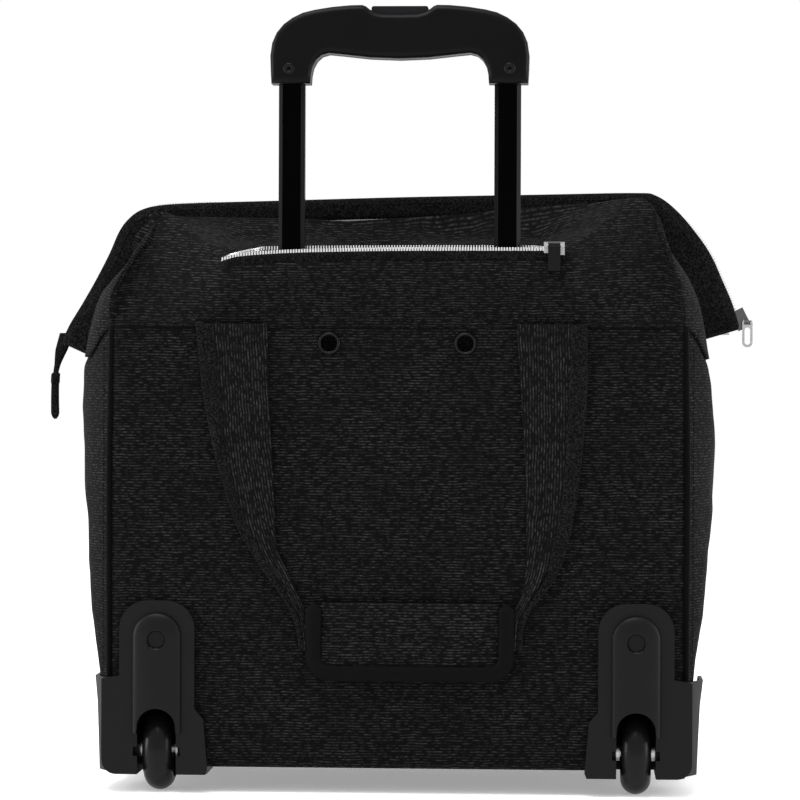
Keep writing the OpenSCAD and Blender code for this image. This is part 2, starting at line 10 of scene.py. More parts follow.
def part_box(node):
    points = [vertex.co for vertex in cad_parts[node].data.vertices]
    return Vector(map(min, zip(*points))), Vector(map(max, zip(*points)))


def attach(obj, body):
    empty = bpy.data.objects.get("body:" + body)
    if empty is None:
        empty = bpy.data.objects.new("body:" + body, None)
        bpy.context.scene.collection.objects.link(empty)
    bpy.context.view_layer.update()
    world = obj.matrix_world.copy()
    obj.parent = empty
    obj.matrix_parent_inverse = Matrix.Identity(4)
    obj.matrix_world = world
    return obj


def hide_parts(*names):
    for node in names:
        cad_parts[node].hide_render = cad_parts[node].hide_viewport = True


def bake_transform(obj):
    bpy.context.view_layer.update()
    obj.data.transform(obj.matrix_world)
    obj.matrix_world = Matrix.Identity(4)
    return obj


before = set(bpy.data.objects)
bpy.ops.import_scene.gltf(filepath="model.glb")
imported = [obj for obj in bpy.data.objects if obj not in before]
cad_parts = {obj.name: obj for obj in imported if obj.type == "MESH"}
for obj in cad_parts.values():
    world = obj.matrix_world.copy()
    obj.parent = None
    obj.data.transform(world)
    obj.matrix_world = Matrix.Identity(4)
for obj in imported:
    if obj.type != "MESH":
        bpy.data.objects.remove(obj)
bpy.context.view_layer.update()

MM = 0.001

# ---------- places and sizes, from the frame ----------

panel_low, panel_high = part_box("rear_panel")
gusset_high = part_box("right_gusset")[1]
HALF_W = panel_high.x + 4 * MM
REAR = -panel_low.y
BASE_Z = panel_low.z
SEAM_Z = panel_high.z
GUSSET_TOP = gusset_high.z
BULGE = gusset_high.x - HALF_W
WHEEL_LOW, WHEEL_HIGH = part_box("right_tyre")
WHEEL = (WHEEL_LOW + WHEEL_HIGH) / 2
TUBE_Y = sum(corner.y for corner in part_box("inner_tubes")) / 2
eyelet_low, eyelet_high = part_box("rear_eyelets")
EYELET_R = 7.8 * MM
EYELET_X = eyelet_high.x - EYELET_R
EYELET_Z = (eyelet_low.z + eyelet_high.z) / 2

PANEL_CLOTH, GUSSET_CLOTH, BASE_CLOTH, TOP_CLOTH = 2.4 * MM, 2.2 * MM, 2.0 * MM, 1.6 * MM
STRAP_TOP, STRAP_END, GATHER_Z = 317 * MM, 98 * MM, 168 * MM
FENDER_R, FENDER_CROWN, FENDER_WALL = 16.4 * MM, 105.5 * MM, 1.4 * MM
SCREW_Z, RECESS_R = 103.8 * MM, 6.2 * MM
TOOTH_PITCH = 1.87 * MM
STITCH_PITCH, STITCH_LENGTH, STITCH_R = 3.6 * MM, 2.5 * MM, 0.28 * MM
MERGE = 0.05 * MM
UP = (0, 0, 1.0)
ACROSS = (1.0, 0, 0)
SIDES = {-1: "left", 1: "right"}
FACES = {-1: "rear", 1: "front"}

# The outline of the closed mouth from ear to ear, as X and Z in millimetres
MOUTH_EDGE = [(-244, 305), (-238, 318), (-229.2, 332.5), (-219.2, 350), (-210, 368), (-203.2, 383.5),
              (-196.6, 392.6), (-187.4, 399.2), (-173, 402.6), (-146, 404.2), (-90, 405.8), (0, 408.4),
              (94, 410.2), (160, 411.4), (176, 409.5), (191, 398.5), (206.5, 380), (215.5, 366), (222, 351.5),
              (229.5, 334), (235, 316)]


# ---------- mesh helpers ----------

def smooth(t):
    """A soft step: 0 up to t = 0 and 1 from t = 1."""
    t = np.clip(t, 0, 1)
    return t * t * (3 - 2 * t)


def lerp(a, b, t):
    return a + (b - a) * t


def hill(t, top, width):
    """A smooth hill of height 1 at a place."""
    return np.exp(-((t - top) / width) ** 2)


def cloth_noise(points, size, seed):
    """Smooth noise in -1..1 at each point of an array, with features of that size in metres."""
    points = np.asarray(points)
    shift = Vector((seed, seed * 1.7, -seed))
    values = [noise.fractal(Vector(p) / size + shift, 0.9, 2.1, 2) for p in points.reshape(-1, 3)]
    return np.array(values).reshape(points.shape[:-1])


def new_object(name, data):
    obj = bpy.data.objects.new(name, data)
    bpy.context.scene.collection.objects.link(obj)
    return obj


def new_mesh(name, points, faces, weave=None):
    """A mesh object. The weave gives each point its place in the flat cloth, in metres."""
    mesh = bpy.data.meshes.new(name)
    mesh.from_pydata([tuple(p) for p in np.asarray(points).reshape(-1, 3)], [], faces)
    mesh.update()
    if weave is not None:
        values = np.zeros((len(mesh.vertices), 3), np.float32)
        values[:, :2] = np.asarray(weave).reshape(-1, 2)
        mesh.attributes.new("weave", "FLOAT_VECTOR", "POINT").data.foreach_set("vector", values.ravel())
    return new_object(name, mesh)


def finish_piece(obj, material, body, stands_for=(), shade=True):
    """Gives a piece its material, shading and body, and hides the CAD nodes that it replaces."""
    obj.data.materials.append(material)
    if shade:
        obj.data.polygons.foreach_set("use_smooth", [True] * len(obj.data.polygons))
    if body:
        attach(obj, body)
    if stands_for:
        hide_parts(*stands_for)
    return obj


def outward(obj, merge=0.0):
    """Turns a mesh's faces outward. A merge distance joins points that meet and drops loose ones first."""
    bm = bmesh.new()
    bm.from_mesh(obj.data)
    if merge:
        bmesh.ops.remove_doubles(bm, verts=bm.verts, dist=merge)
        bmesh.ops.delete(bm, geom=[v for v in bm.verts if not v.link_faces], context="VERTS")
    bmesh.ops.recalc_face_normals(bm, faces=bm.faces)
    bm.to_mesh(obj.data)
    bm.free()


def apply_modifiers(obj):
    """Bakes an object's modifiers into its mesh."""
    bpy.context.view_layer.update()
    graph = bpy.context.evaluated_depsgraph_get()
    mesh = bpy.data.meshes.new_from_object(obj.evaluated_get(graph))
    obj.modifiers.clear()
    obj.data = mesh


def round_edges(obj, width, segments=3, angle=35):
    mod = obj.modifiers.new("edges", "BEVEL")
    mod.width = width
    mod.segments = segments
    mod.limit_method = "ANGLE"
    mod.angle_limit = math.radians(angle)
    mod.harden_normals = False


def grid_faces(rows, cols, keep=None):
    """Faces of a grid of points, without those that keep turns down."""
    faces = []
    for j in range(rows - 1):
        for i in range(cols - 1):
            if keep is None or keep(j, i):
                a = j * cols + i
                faces.append((a, a + 1, a + cols + 1, a + cols))
    return faces


def sheet(name, points, facing, thickness, weave=None, keep=None):
    """A sheet over a grid of points, with its thickness on the side away from facing."""
    obj = new_mesh(name, points, grid_faces(*points.shape[:2], keep), weave)
    outward(obj, MERGE)
    if sum(p.normal.dot(Vector(facing)) * p.area for p in obj.data.polygons) < 0:
        obj.data.flip_normals()
    mod = obj.modifiers.new("thickness", "SOLIDIFY")
    mod.thickness = thickness
    mod.offset = -1.0
    return obj


def loft(name, rings, weave=None, closed=False):
    """A tube through rings of points, each with the same count: capped, or closed on itself."""
    rings = np.asarray(rings, float)
    n, m = rings.shape[:2]
    faces = []
    for j in range(n if closed else n - 1):
        k = (j + 1) % n
        for i in range(m):
            h = (i + 1) % m
            faces.append((j * m + i, j * m + h, k * m + h, k * m + i))
    if not closed:
        faces.append(tuple(range(m - 1, -1, -1)))
        faces.append(tuple((n - 1) * m + i for i in range(m)))
    obj = new_mesh(name, rings, faces, weave)
    outward(obj)
    return obj


def turned(name, profile, count, place):
    """A closed ring: place gives the point for each (radius, depth) of a profile at each angle."""
    angles = np.linspace(0, 2 * math.pi, count, endpoint=False)
    return loft(name, [[place(r, d, a) for r, d in profile] for a in angles], closed=True)


def superellipse(count, power):
    """Points of a soft rectangle with half sizes of 1."""
    angles = np.linspace(0, 2 * math.pi, count, endpoint=False)
    c, s = np.cos(angles), np.sin(angles)
    return np.stack([np.sign(c) * np.abs(c) ** (2 / power), np.sign(s) * np.abs(s) ** (2 / power)], 1)


def swept(path, side, up, half_side, half_up, section):
    """Rings of a section carried along a path, with directions and half sizes for all or for each point."""
    path = np.asarray(path, float)
    side, up = [np.broadcast_to(np.asarray(v, float), path.shape) for v in (side, up)]
    half_side, half_up = [np.broadcast_to(v, (len(path),)) for v in (half_side, half_up)]
    return (path[:, None, :] + side[:, None, :] * (section[None, :, :1] * half_side[:, None, None])
            + up[:, None, :] * (section[None, :, 1:] * half_up[:, None, None]))


def along(path):
    """Distance along a path, at each of its points."""
    path = np.asarray(path, float)
    return np.concatenate([[0], np.cumsum(np.linalg.norm(np.diff(path, axis=0), axis=1))])


def even(path, count):
    """A number of points at even distances along a path."""
    path = np.asarray(path, float)
    run = along(path)
    at = np.linspace(0, run[-1], count)
    return np.stack([np.interp(at, run, path[:, k]) for k in range(path.shape[1])], 1)


def resample(path, step):
    """Points along a path, about one step apart."""
    return even(path, max(2, int(round(along(path)[-1] / step)) + 1))


def tangents(path):
    """Direction of a path at each of its points."""
    d = np.gradient(np.asarray(path, float), axis=0)
    return d / np.linalg.norm(d, axis=1, keepdims=True)


def smooth_path(points, step):
    """A rounded path through a few points, at even steps."""
    points = np.asarray(points, float)
    padded = np.vstack([2 * points[0] - points[1], points, 2 * points[-1] - points[-2]])
    out = []
    for i in range(1, len(padded) - 2):
        p0, p1, p2, p3 = padded[i - 1:i + 3]
        for t in np.linspace(0, 1, 12, endpoint=False):
            out.append(0.5 * (2 * p1 + (p2 - p0) * t + (2 * p0 - 5 * p1 + 4 * p2 - p3) * t * t
                              + (3 * p1 - p0 - 3 * p2 + p3) * t ** 3))
    out.append(points[-1])
    return resample(out, step)


def spaced(points, count):
    """A rounded path through points given in millimetres, as a number of even steps."""
    return even(smooth_path(np.array(points, float) * MM, 1 * MM), count)


def rounded_square(u, v, half_x, half_z, corner):
    """Maps the square -1..1 to a rectangle with round corners, keeping grid lines smooth."""
    x, z = u * half_x, v * half_z
    over_x = np.maximum(np.abs(x) - (half_x - corner), 0)
    over_z = np.maximum(np.abs(z) - (half_z - corner), 0)
    square = np.maximum(over_x, over_z)
    reach = np.hypot(over_x, over_z)
    scale = np.where(reach > 1e-9, square / np.maximum(reach, 1e-9), 1)
    return (np.sign(x) * (np.minimum(np.abs(x), half_x - corner) + over_x * scale),
            np.sign(z) * (np.minimum(np.abs(z), half_z - corner) + over_z * scale))


# ---------- material helpers ----------

class Nodes:
    """Short names for building a material's node tree."""

    def __init__(self, name):
        self.material = bpy.data.materials.new(name)
        self.material.use_nodes = True
        self.tree = self.material.node_tree
        self.shader = self.tree.nodes["Principled BSDF"]

    def add(self, kind, **settings):
        node = self.tree.nodes.new(kind)
        for key, value in settings.items():
            setattr(node, key, value)
        return node

    def link(self, out, into):
        self.tree.links.new(out, into)

    def value(self, **values):
        for key, value in values.items():
            self.shader.inputs[key.replace("_", " ")].default_value = value

    def object_coordinates(self):
        return self.add("ShaderNodeTexCoord").outputs["Object"]

    def weave_coordinates(self):
        return self.add("ShaderNodeAttribute", attribute_name="weave").outputs["Vector"]

    def scaled(self, vector, scale, rotation=(0, 0, 0)):
        node = self.add("ShaderNodeMapping")
        node.inputs["Scale"].default_value = scale
        node.inputs["Rotation"].default_value = rotation
        self.link(vector, node.inputs["Vector"])
        return node.outputs["Vector"]

    def noise(self, vector, scale=1.0, detail=2.0, roughness=0.5):
        node = self.add("ShaderNodeTexNoise")
        node.inputs["Scale"].default_value = scale
        node.inputs["Detail"].default_value = detail
        node.inputs["Roughness"].default_value = roughness
        self.link(vector, node.inputs["Vector"])
        return node.outputs["Fac"]

    def wave(self, vector, scale):
        node = self.add("ShaderNodeTexWave", bands_direction="Z")
        node.inputs["Scale"].default_value = scale
        self.link(vector, node.inputs["Vector"])
        return node.outputs["Fac"]

    def ramp(self, value, low, high, a=0.0, b=1.0):
        node = self.add("ShaderNodeMapRange")
        for key, number in zip(("From Min", "From Max", "To Min", "To Max"), (low, high, a, b)):
            node.inputs[key].default_value = number
        self.link(value, node.inputs["Value"])
        return node.outputs["Result"]

    def math(self, operation, a, b):
        node = self.add("ShaderNodeMath", operation=operation)
        for value, socket in ((a, node.inputs[0]), (b, node.inputs[1])):
            if isinstance(value, (int, float)):
                socket.default_value = value
            else:
                self.link(value, socket)
        return node.outputs[0]

    def mix(self, factor, a, b):
        node = self.add("ShaderNodeMix", data_type="RGBA")
        self.link(factor, node.inputs["Factor"])
        for value, socket in ((a, node.inputs[6]), (b, node.inputs[7])):
            if isinstance(value, tuple):
                socket.default_value = (*value, 1)
            else:
                self.link(value, socket)
        return node.outputs[2]

    def colour(self, output):
        self.link(output, self.shader.inputs["Base Color"])

    def roughness(self, output):
        self.link(output, self.shader.inputs["Roughness"])

    def bump(self, height, strength=0.5, distance=0.3 * MM):
        node = self.add("ShaderNodeBump")
        node.inputs["Strength"].default_value = strength
        node.inputs["Distance"].default_value = distance
        self.link(height, node.inputs["Height"])
        self.link(node.outputs["Normal"], self.shader.inputs["Normal"])


def grey(level, tint=0.0):
    """A linear grey, with a little blue for a positive tint."""
    return (level * (1 - tint * 0.5), level * (1 - tint * 0.3), level * (1 + tint))


ROW = 1.88 * MM


def slub_cloth(name, base, dash, upright=False):
    """Dark cloth with rows of short raised dashes along the weft, which may run upright."""
    n = Nodes(name)
    w = n.weave_coordinates()
    split = n.add("ShaderNodeSeparateXYZ")
    n.link(w, split.inputs[0])
    run, across = split.outputs[1 if upright else 0], split.outputs[0 if upright else 1]
    drift = n.ramp(n.noise(n.scaled(w, (70, 70, 1)), detail=2.0), 0, 1, -1.1 * MM, 1.1 * MM)
    rows = n.math("MULTIPLY", n.math("ADD", across, drift), 1 / ROW)
    row = n.math("FLOOR", rows, 0.0)
    height = n.math("PINGPONG", rows, 0.5)
    thread = n.ramp(height, 0.2, 0.42)
    spot = n.add("ShaderNodeCombineXYZ")
    n.link(n.math("MULTIPLY", run, 230), spot.inputs[0])
    n.link(n.math("MULTIPLY", row, 7.31), spot.inputs[1])
    lengths = n.ramp(n.noise(spot.outputs[0], detail=1.5), 0.4, 0.66)
    patchy = n.ramp(n.noise(n.scaled(w, (520, 520, 1)), detail=1.0), 0.3, 0.62, 0.25, 1.0)
    dashes = n.math("MULTIPLY", n.math("MULTIPLY", thread, lengths), patchy)
    broad = n.noise(n.scaled(w, (28, 28, 1)), detail=3.0)
    fine = n.noise(n.scaled(w, (2200, 2200, 1)), detail=2.0)
    ground = n.mix(n.ramp(fine, 0.3, 0.7), grey(base * 0.5, 0.03), grey(base * 1.6, 0.03))
    shown = n.math("MULTIPLY", dashes, n.ramp(broad, 0.25, 0.75, 0.45, 1.0))
    n.colour(n.mix(shown, ground, grey(dash, 0.03)))
    n.value(Roughness=0.85, Sheen_Weight=0.008, Sheen_Roughness=0.4, Specular_IOR_Level=0.03)
    n.bump(n.math("ADD", n.math("MULTIPLY", fine, 0.3), dashes), 0.6, 0.35 * MM)
    return n.material


def brushed_cloth(name, base):
    """Soft napped cloth of the bands."""
    n = Nodes(name)
    p = n.object_coordinates()
    nap = n.noise(p, 850, 2.0, 0.6)
    blotch = n.noise(p, 60, 2.0)
    n.colour(n.mix(n.math("MULTIPLY", n.ramp(nap, 0.44, 0.62), n.ramp(blotch, 0.2, 0.8, 0.5, 1.0)),
                   grey(base * 0.3, 0.03), grey(base * 3.0, 0.03)))
    n.value(Roughness=0.9, Sheen_Weight=0.015, Sheen_Roughness=0.5, Specular_IOR_Level=0.04)
    n.bump(nap, 0.7, 0.4 * MM)
    return n.material


def plain_plastic(name, base, roughness, grain=1400, strength=0.12, gloss=0.1):
    """Moulded plastic or rubber with a fine grain and slightly uneven gloss."""
    n = Nodes(name)
    p = n.object_coordinates()
    fine = n.noise(p, grain, 2.0)
    cloud = n.noise(p, 35, 3.0)
    n.colour(n.mix(n.ramp(cloud, 0.3, 0.7), grey(base * 0.9, 0.1), grey(base * 1.12, 0.1)))
    n.roughness(n.ramp(cloud, 0.25, 0.75, roughness - 0.04, roughness + 0.06))
    n.value(Specular_IOR_Level=gloss)
    n.bump(fine, strength, 0.12 * MM)
    return n.material


def metal(name, base, roughness, streak=(40, 40, 900), strength=0.1):
    """Metal with fine lines, which run along the axes whose scale in streak is low."""
    n = Nodes(name)
    p = n.scaled(n.object_coordinates(), streak)
    lines = n.noise(p, 1.0, 2.0)
    n.colour(n.mix(n.ramp(lines, 0.3, 0.7), grey(base * 0.9), grey(base * 1.05)))
    n.roughness(n.ramp(lines, 0.2, 0.8, roughness * 0.8, roughness * 1.25))
    n.value(Metallic=1.0)
    n.bump(lines, strength, 0.05 * MM)
    return n.material


def cord_cloth(name, base):
    """Tight cord of the pipings and threads."""
    n = Nodes(name)
    p = n.object_coordinates()
    twist = n.wave(n.scaled(p, (1, 1, 1), (0.6, 0.6, 0)), 320)
    fuzz = n.noise(p, 1300, 2.0)
    n.colour(n.mix(n.math("MULTIPLY", twist, fuzz), grey(base * 0.6), grey(base * 1.8)))
    n.value(Roughness=0.8, Sheen_Weight=0.006, Specular_IOR_Level=0.03)
    n.bump(twist, 0.5, 0.2 * MM)
    return n.material


SLUB = slub_cloth("slub_cloth", 0.0024, 0.038)
STRAP = slub_cloth("strap_cloth", 0.003, 0.046, upright=True)
WRAP = slub_cloth("wrap_cloth", 0.0026, 0.046)
BAND = brushed_cloth("band_cloth", 0.0042)
BINDING = plain_plastic("binding_cloth", 0.0024, 0.75, 700, 0.3, 0.04)
TAPE = brushed_cloth("zip_tape", 0.003)
LINING = brushed_cloth("lining_cloth", 0.008)
PIPING = cord_cloth("piping_cord", 0.002)
THREAD = cord_cloth("thread", 0.009)
HOUSING = plain_plastic("housing_plastic", 0.0038, 0.42)
GRIP = plain_plastic("grip_plastic", 0.0022, 0.35, 1800, 0.08, 0.06)
BUTTON = plain_plastic("button_plastic", 0.007, 0.5)
MOULDED = plain_plastic("moulded_plastic", 0.008, 0.5)
BOARD = plain_plastic("stiffener_board", 0.012, 0.6)
HUB = plain_plastic("hub_plastic", 0.015, 0.35)
TYRE = plain_plastic("tyre_rubber", 0.004, 0.28, 1000, 0.05)
BLACK_TUBE = metal("black_anodised", 0.0016, 0.22, (900, 900, 12), 0.04)
RAW_TUBE = metal("raw_aluminium", 0.5, 0.35, (900, 900, 12))
TEETH = metal("nickel_teeth", 0.72, 0.22)
STEEL = metal("plated_steel", 0.6, 0.3)
SPRING = metal("spring_steel", 0.42, 0.4)
SLIDER = plain_plastic("black_enamel", 0.004, 0.3, 2000, 0.03)
PULL_METAL = metal("brushed_zinc", 0.4, 0.3)
DARK_METAL = metal("gun_metal", 0.1, 0.18)
EYELET_METAL = metal("dark_nickel", 0.014, 0.35)


# ---------- the soft case ----------

def barrel(z, side):
    """How far a side wall reaches from the middle at a height. The left one is fuller near its top."""
    heights = np.array([0, 60, 90, 120, 155, 190, 235, 260, 280, 300, 340])
    left, right = [23, 20, 14, 7.5, 4, 1.5, -3, -6, -4, 2, 8], [23, 22, 19, 14, 9.5, 5, 5, 7, 9, 11, 14]
    return HALF_W + BULGE - np.interp(z, heights * MM, np.array(left if side < 0 else right) * MM)


def side_x(y, z, side=1):
    """Outer surface of a side wall: an arc in plan, softened into the barrel shape."""
    y = np.asarray(y)
    reach = REAR - 4.3 * MM
    radius = (reach ** 2 + BULGE ** 2) / (2 * BULGE)
    arc = HALF_W + BULGE - radius + np.sqrt(np.maximum(radius ** 2 - y ** 2, 0))
    rear = smooth((40 * MM - y) / (40 * MM)) if side < 0 else 0
    limit = lerp(barrel(z, 1), barrel(z, -1), rear)
    arc = arc + 6 * MM * (1 - (y / reach) ** 2) * rear
    soft = 5 * MM
    blend = np.clip(0.5 + 0.5 * (limit - arc) / soft, 0, 1)
    return limit * (1 - blend) + arc * blend - soft * blend * (1 - blend)


def gusset_rim(y):
    """Height of a side wall's top edge: level in the middle, rising to the shoulder seam at the panels."""
    return lerp(GUSSET_TOP + 2 * MM, SEAM_Z - 1 * MM, smooth((np.abs(y) - 62 * MM) / (40 * MM)))


def in_wheel_well(x, z):
    """Whether a place on the rear panel is open for a wheel."""
    return abs(abs(x) - WHEEL.x) < 19 * MM and z < 66 * MM


def make_panel(face):
    """Rear or front panel: padded cloth that crowns a little and rolls in at the piping."""
    xs = np.linspace(-HALF_W + 1.2 * MM, HALF_W - 1.2 * MM, 157)
    zs = np.linspace(BASE_Z, SEAM_Z + 1.5 * MM, 121)
    x, z = np.meshgrid(xs, zs)
    u = x / (HALF_W - 1 * MM)
    v = (z - BASE_Z) / (SEAM_Z - BASE_Z) * 2 - 1
    flat = np.stack([x, np.full_like(x, face * 0.1), z], -1)
    ripple = cloth_noise(flat, 90 * MM, 3.0 + face) * 0.9 * MM
    ripple += cloth_noise(flat, 26 * MM, 8.0 + face) * 0.22 * MM
    crown = 1.5 * MM * (1 - np.abs(u) ** 4) * (1 - np.abs(v) ** 6)
    edge = np.clip((np.abs(x) - (HALF_W - 7 * MM)) / (6 * MM), 0, 1)
    foot = np.clip((BASE_Z + 8 * MM - z) / (8 * MM), 0, 1)
    y = REAR + crown + ripple * (1 - edge) * (1 - np.abs(v) ** 10)
    y -= 2.6 * MM * edge ** 2 + 4.5 * MM * foot ** 2
    points = np.stack([x, face * y, z], -1)

    def keep(j, i):
        px, pz = xs[i] + 1.2 * MM, zs[j] + 1.2 * MM
        in_eyelet = math.hypot(abs(px) - EYELET_X, pz - EYELET_Z) <= 6.0 * MM
        return face > 0 or not (in_eyelet or in_wheel_well(px, pz))

    name = FACES[face] + "_panel"
    obj = sheet(name + "_cloth", points, (0, face, 0), PANEL_CLOTH, np.stack([x, z], -1), keep)
    finish_piece(obj, SLUB, "case", [name])


def make_gusset(side):
    """Side wall: barrel-shaped cloth with soft puffs and folds above the wheels."""
    ys = np.linspace(-REAR + 4.0 * MM, REAR - 4.0 * MM, 91)
    rows = 101
    y = np.broadcast_to(ys, (rows, len(ys)))
    t = np.linspace(0, 1, rows)[:, None]
    z = lerp(BASE_Z, gusset_rim(y), t)
    x = side_x(y, z, side)
    middle = 1 - (y / REAR) ** 2
    puff = cloth_noise(np.stack([x * side, y, z], -1), 70 * MM, 5.0 * side) * 1.6 * MM
    fold = cloth_noise(np.stack([x * side, y * 0.6, z * 2.2], -1), 60 * MM, 9.0 * side) * 1.2 * MM
    lower = smooth((z - 80 * MM) / (40 * MM))
    x = x - 0.8 * MM + (puff + fold) * middle * lower
    tuck = smooth((z - gusset_rim(y) + 8 * MM) / (8 * MM))
    x = x - 1.5 * MM * tuck
    name = SIDES[side] + "_gusset"
    points = np.stack([side * x, y, z], -1)
    obj = sheet(name + "_cloth", points, (side, 0, 0), GUSSET_CLOTH, points[..., 1:])
    finish_piece(obj, SLUB, "case", [name])


def make_base():
    """Flat cloth under the case, open at the wheels."""
    xs = np.linspace(-1, 1, 121)
    ys = np.linspace(-REAR + 4.4 * MM, REAR - 4.4 * MM, 61)
    u, y = np.meshgrid(xs, ys)
    reach = side_x(y, np.full_like(y, BASE_Z)) - 1.2 * MM
    x = u * reach
    rim = np.maximum(np.abs(u), np.abs(y) / REAR)
    z = BASE_Z + 0.2 * MM + 0.8 * MM * smooth((rim - 0.9) / 0.1)
    points = np.stack([x, y, z], -1)

    def keep(j, i):
        middle = points[j:j + 2, i:i + 2].reshape(-1, 3).mean(0)
        return not (abs(abs(middle[0]) - WHEEL.x) < 17 * MM and middle[1] < -REAR + 52 * MM)

    obj = sheet("base_cloth", points, (0, 0, -1), BASE_CLOTH, points[..., :2], keep)
    finish_piece(obj, SLUB, "case", ["base_panel"])


# The mouth's outer edge, with the direction inward and the share of ear at each point
EDGE = smooth_path([(x * MM, 0, z * MM) for x, z in MOUTH_EDGE], 2.5 * MM)
edge_run = tangents(EDGE)
INWARD = np.stack([edge_run[:, 2], np.zeros(len(EDGE)), -edge_run[:, 0]], 1)
EAR = smooth((np.abs(EDGE[:, 0]) - 168 * MM) / (40 * MM))


def mouth_line(inset, ear_inset):
    """Line inside the mouth's edge, at one distance on the ridge and another on the ears."""
    return EDGE + INWARD * lerp(inset, ear_inset, EAR)[:, None]


# Edges of the top cloth's rear half, in millimetres
LEFT_EDGE = [(-194.5, -103.5, 317), (-195.5, -102, 332), (-191, -89, 348), (-184.5, -62, 365),
             (-174.5, -18, 391), (-168.5, -9.5, 397.5)]
LEFT_FOLD = [(-168.5, -9.5, 397.5), (-157, -25, 392), (-143.5, -52, 380.5), (-130, -80, 370),
             (-119, -98.5, 360)]
ZIP_LINE = [(-119, -98.5, 360), (-107, -99, 363), (-80, -99, 365), (-50, -99, 366), (0, -99, 366.8),
            (60, -99, 367), (100, -99, 367), (118, -98.5, 366.5)]
RIGHT_FOLD = [(118, -98.5, 366.5), (127.5, -76, 377.5), (139, -51, 387), (154, -24, 400), (166.5, -10, 408)]
RIGHT_EDGE = [(166.5, -10, 408), (174.5, -24, 398), (180.5, -55, 377), (185, -82, 360), (189, -96, 348),
              (191.8, -102, 334), (192.5, -103.5, 317)]
BACK_ZIP = [(-119, -98.5, 360), (-112, -94, 363), (-98, -71, 367.5), (-86, -66, 368.8), (0, -65, 369.6),
            (82, -66, 369.6), (91, -69.5, 369.4), (99, -86, 368), (106, -97.5, 367.2), (118, -98.5, 366.5)]
TOP_LINE = [(-168.5, -9.5, 397.5), (-160, -8.5, 394.5), (-120, -8, 393.6), (-74, -8, 393.2), (-44, -8, 391.4),
            (0, -8, 393.6), (38, -8, 396), (66, -8, 399), (96, -8, 401.5), (130, -8, 404), (152, -8.5, 407),
            (166.5, -10, 408)]


def make_upper_panel(face):
    """Cloth from the shoulder seam to the line of the trolley zip, with gables up to the mouth's corners."""
    lines = ((LEFT_FOLD, 34), (ZIP_LINE, 110), (RIGHT_FOLD, 34), (RIGHT_EDGE, 30))
    parts = [spaced(LEFT_EDGE, 30)] + [spaced(line, count)[1:] for line, count in lines]
    top = np.vstack(parts)
    marks = np.cumsum([0] + [len(part) for part in parts]) - [0, 1, 1, 1, 1, 1]
    x = np.interp(np.arange(len(top)), marks, np.array([-194.5, -186, -122, 120, 185, 192.5]) * MM)
    base = np.stack([x, np.full(len(x), -REAR - 0.9 * MM), np.full(len(x), SEAM_Z - 2 * MM)], 1)
    base[:, 1] += 2 * MM * smooth((np.abs(x) - 184 * MM) / (9 * MM))
    rows = 34
    v = np.linspace(0, 1, rows)[:, None]
    points = base[None] * (1 - v[..., None]) + top[None] * v[..., None]
    centre = np.interp(np.arange(len(top)), marks, [0.1, 0.6, 1, 1, 0.6, 0.1])
    hump = np.sin(v * math.pi) * centre
    wave = cloth_noise(points, 70 * MM, 21 + face) * 2.4 * MM
    wave += cloth_noise(points, 27 * MM, 31 + face) * 0.7 * MM
    weave = np.stack([points[..., 0], 1.1 * points[..., 2] - 0.1 * points[..., 1]], -1)
    points[..., 1] -= hump * (4.2 * MM + wave)
    points[..., 2] += hump * 0.4 * wave
    top_piece("upper_panel", face, points, weave)


def make_mouth_slope(face):
    """Cloth from the upper panel to the mouth's band, with soft wrinkles."""
    cols, rows = 150, 36
    low, high = spaced(BACK_ZIP if face < 0 else ZIP_LINE, cols), spaced(TOP_LINE, cols)
    left, right = spaced(LEFT_FOLD, rows)[::-1], spaced(RIGHT_FOLD, rows)
    v = np.linspace(0, 1, rows)[:, None, None]
    u = np.linspace(0, 1, cols)[None, :, None]
    points = low[None] * (1 - v) + high[None] * v
    for side, share in ((left, (1 - u) ** 2), (right, u ** 2)):
        edge = 0 if side is left else -1
        straight = low[edge] * (1 - v[:, :, 0]) + high[edge] * v[:, :, 0]
        points = points + (side - straight)[:, None, :] * share
    free = (np.sin(v * math.pi) ** 0.8 * np.sin(u * math.pi) ** 0.5)[..., 0]
    wave = cloth_noise(points * [0.8, 1, 1], 55 * MM, 61 + face) * 5.0 * MM
    wave += cloth_noise(points * [1.3, 0.5, 1], 26 * MM, 71 + face) * 1.8 * MM
    sag = 6.5 * MM * np.sin(u[..., 0] * math.pi) ** 0.5
    weave = np.stack([points[..., 0], 0.5 * points[..., 2] - 0.8 * points[..., 1]], -1)
    points[..., 2] += free * (wave - sag)
    points[..., 1] -= free * wave * 0.4
    top_piece("mouth_slope", face, points, weave)


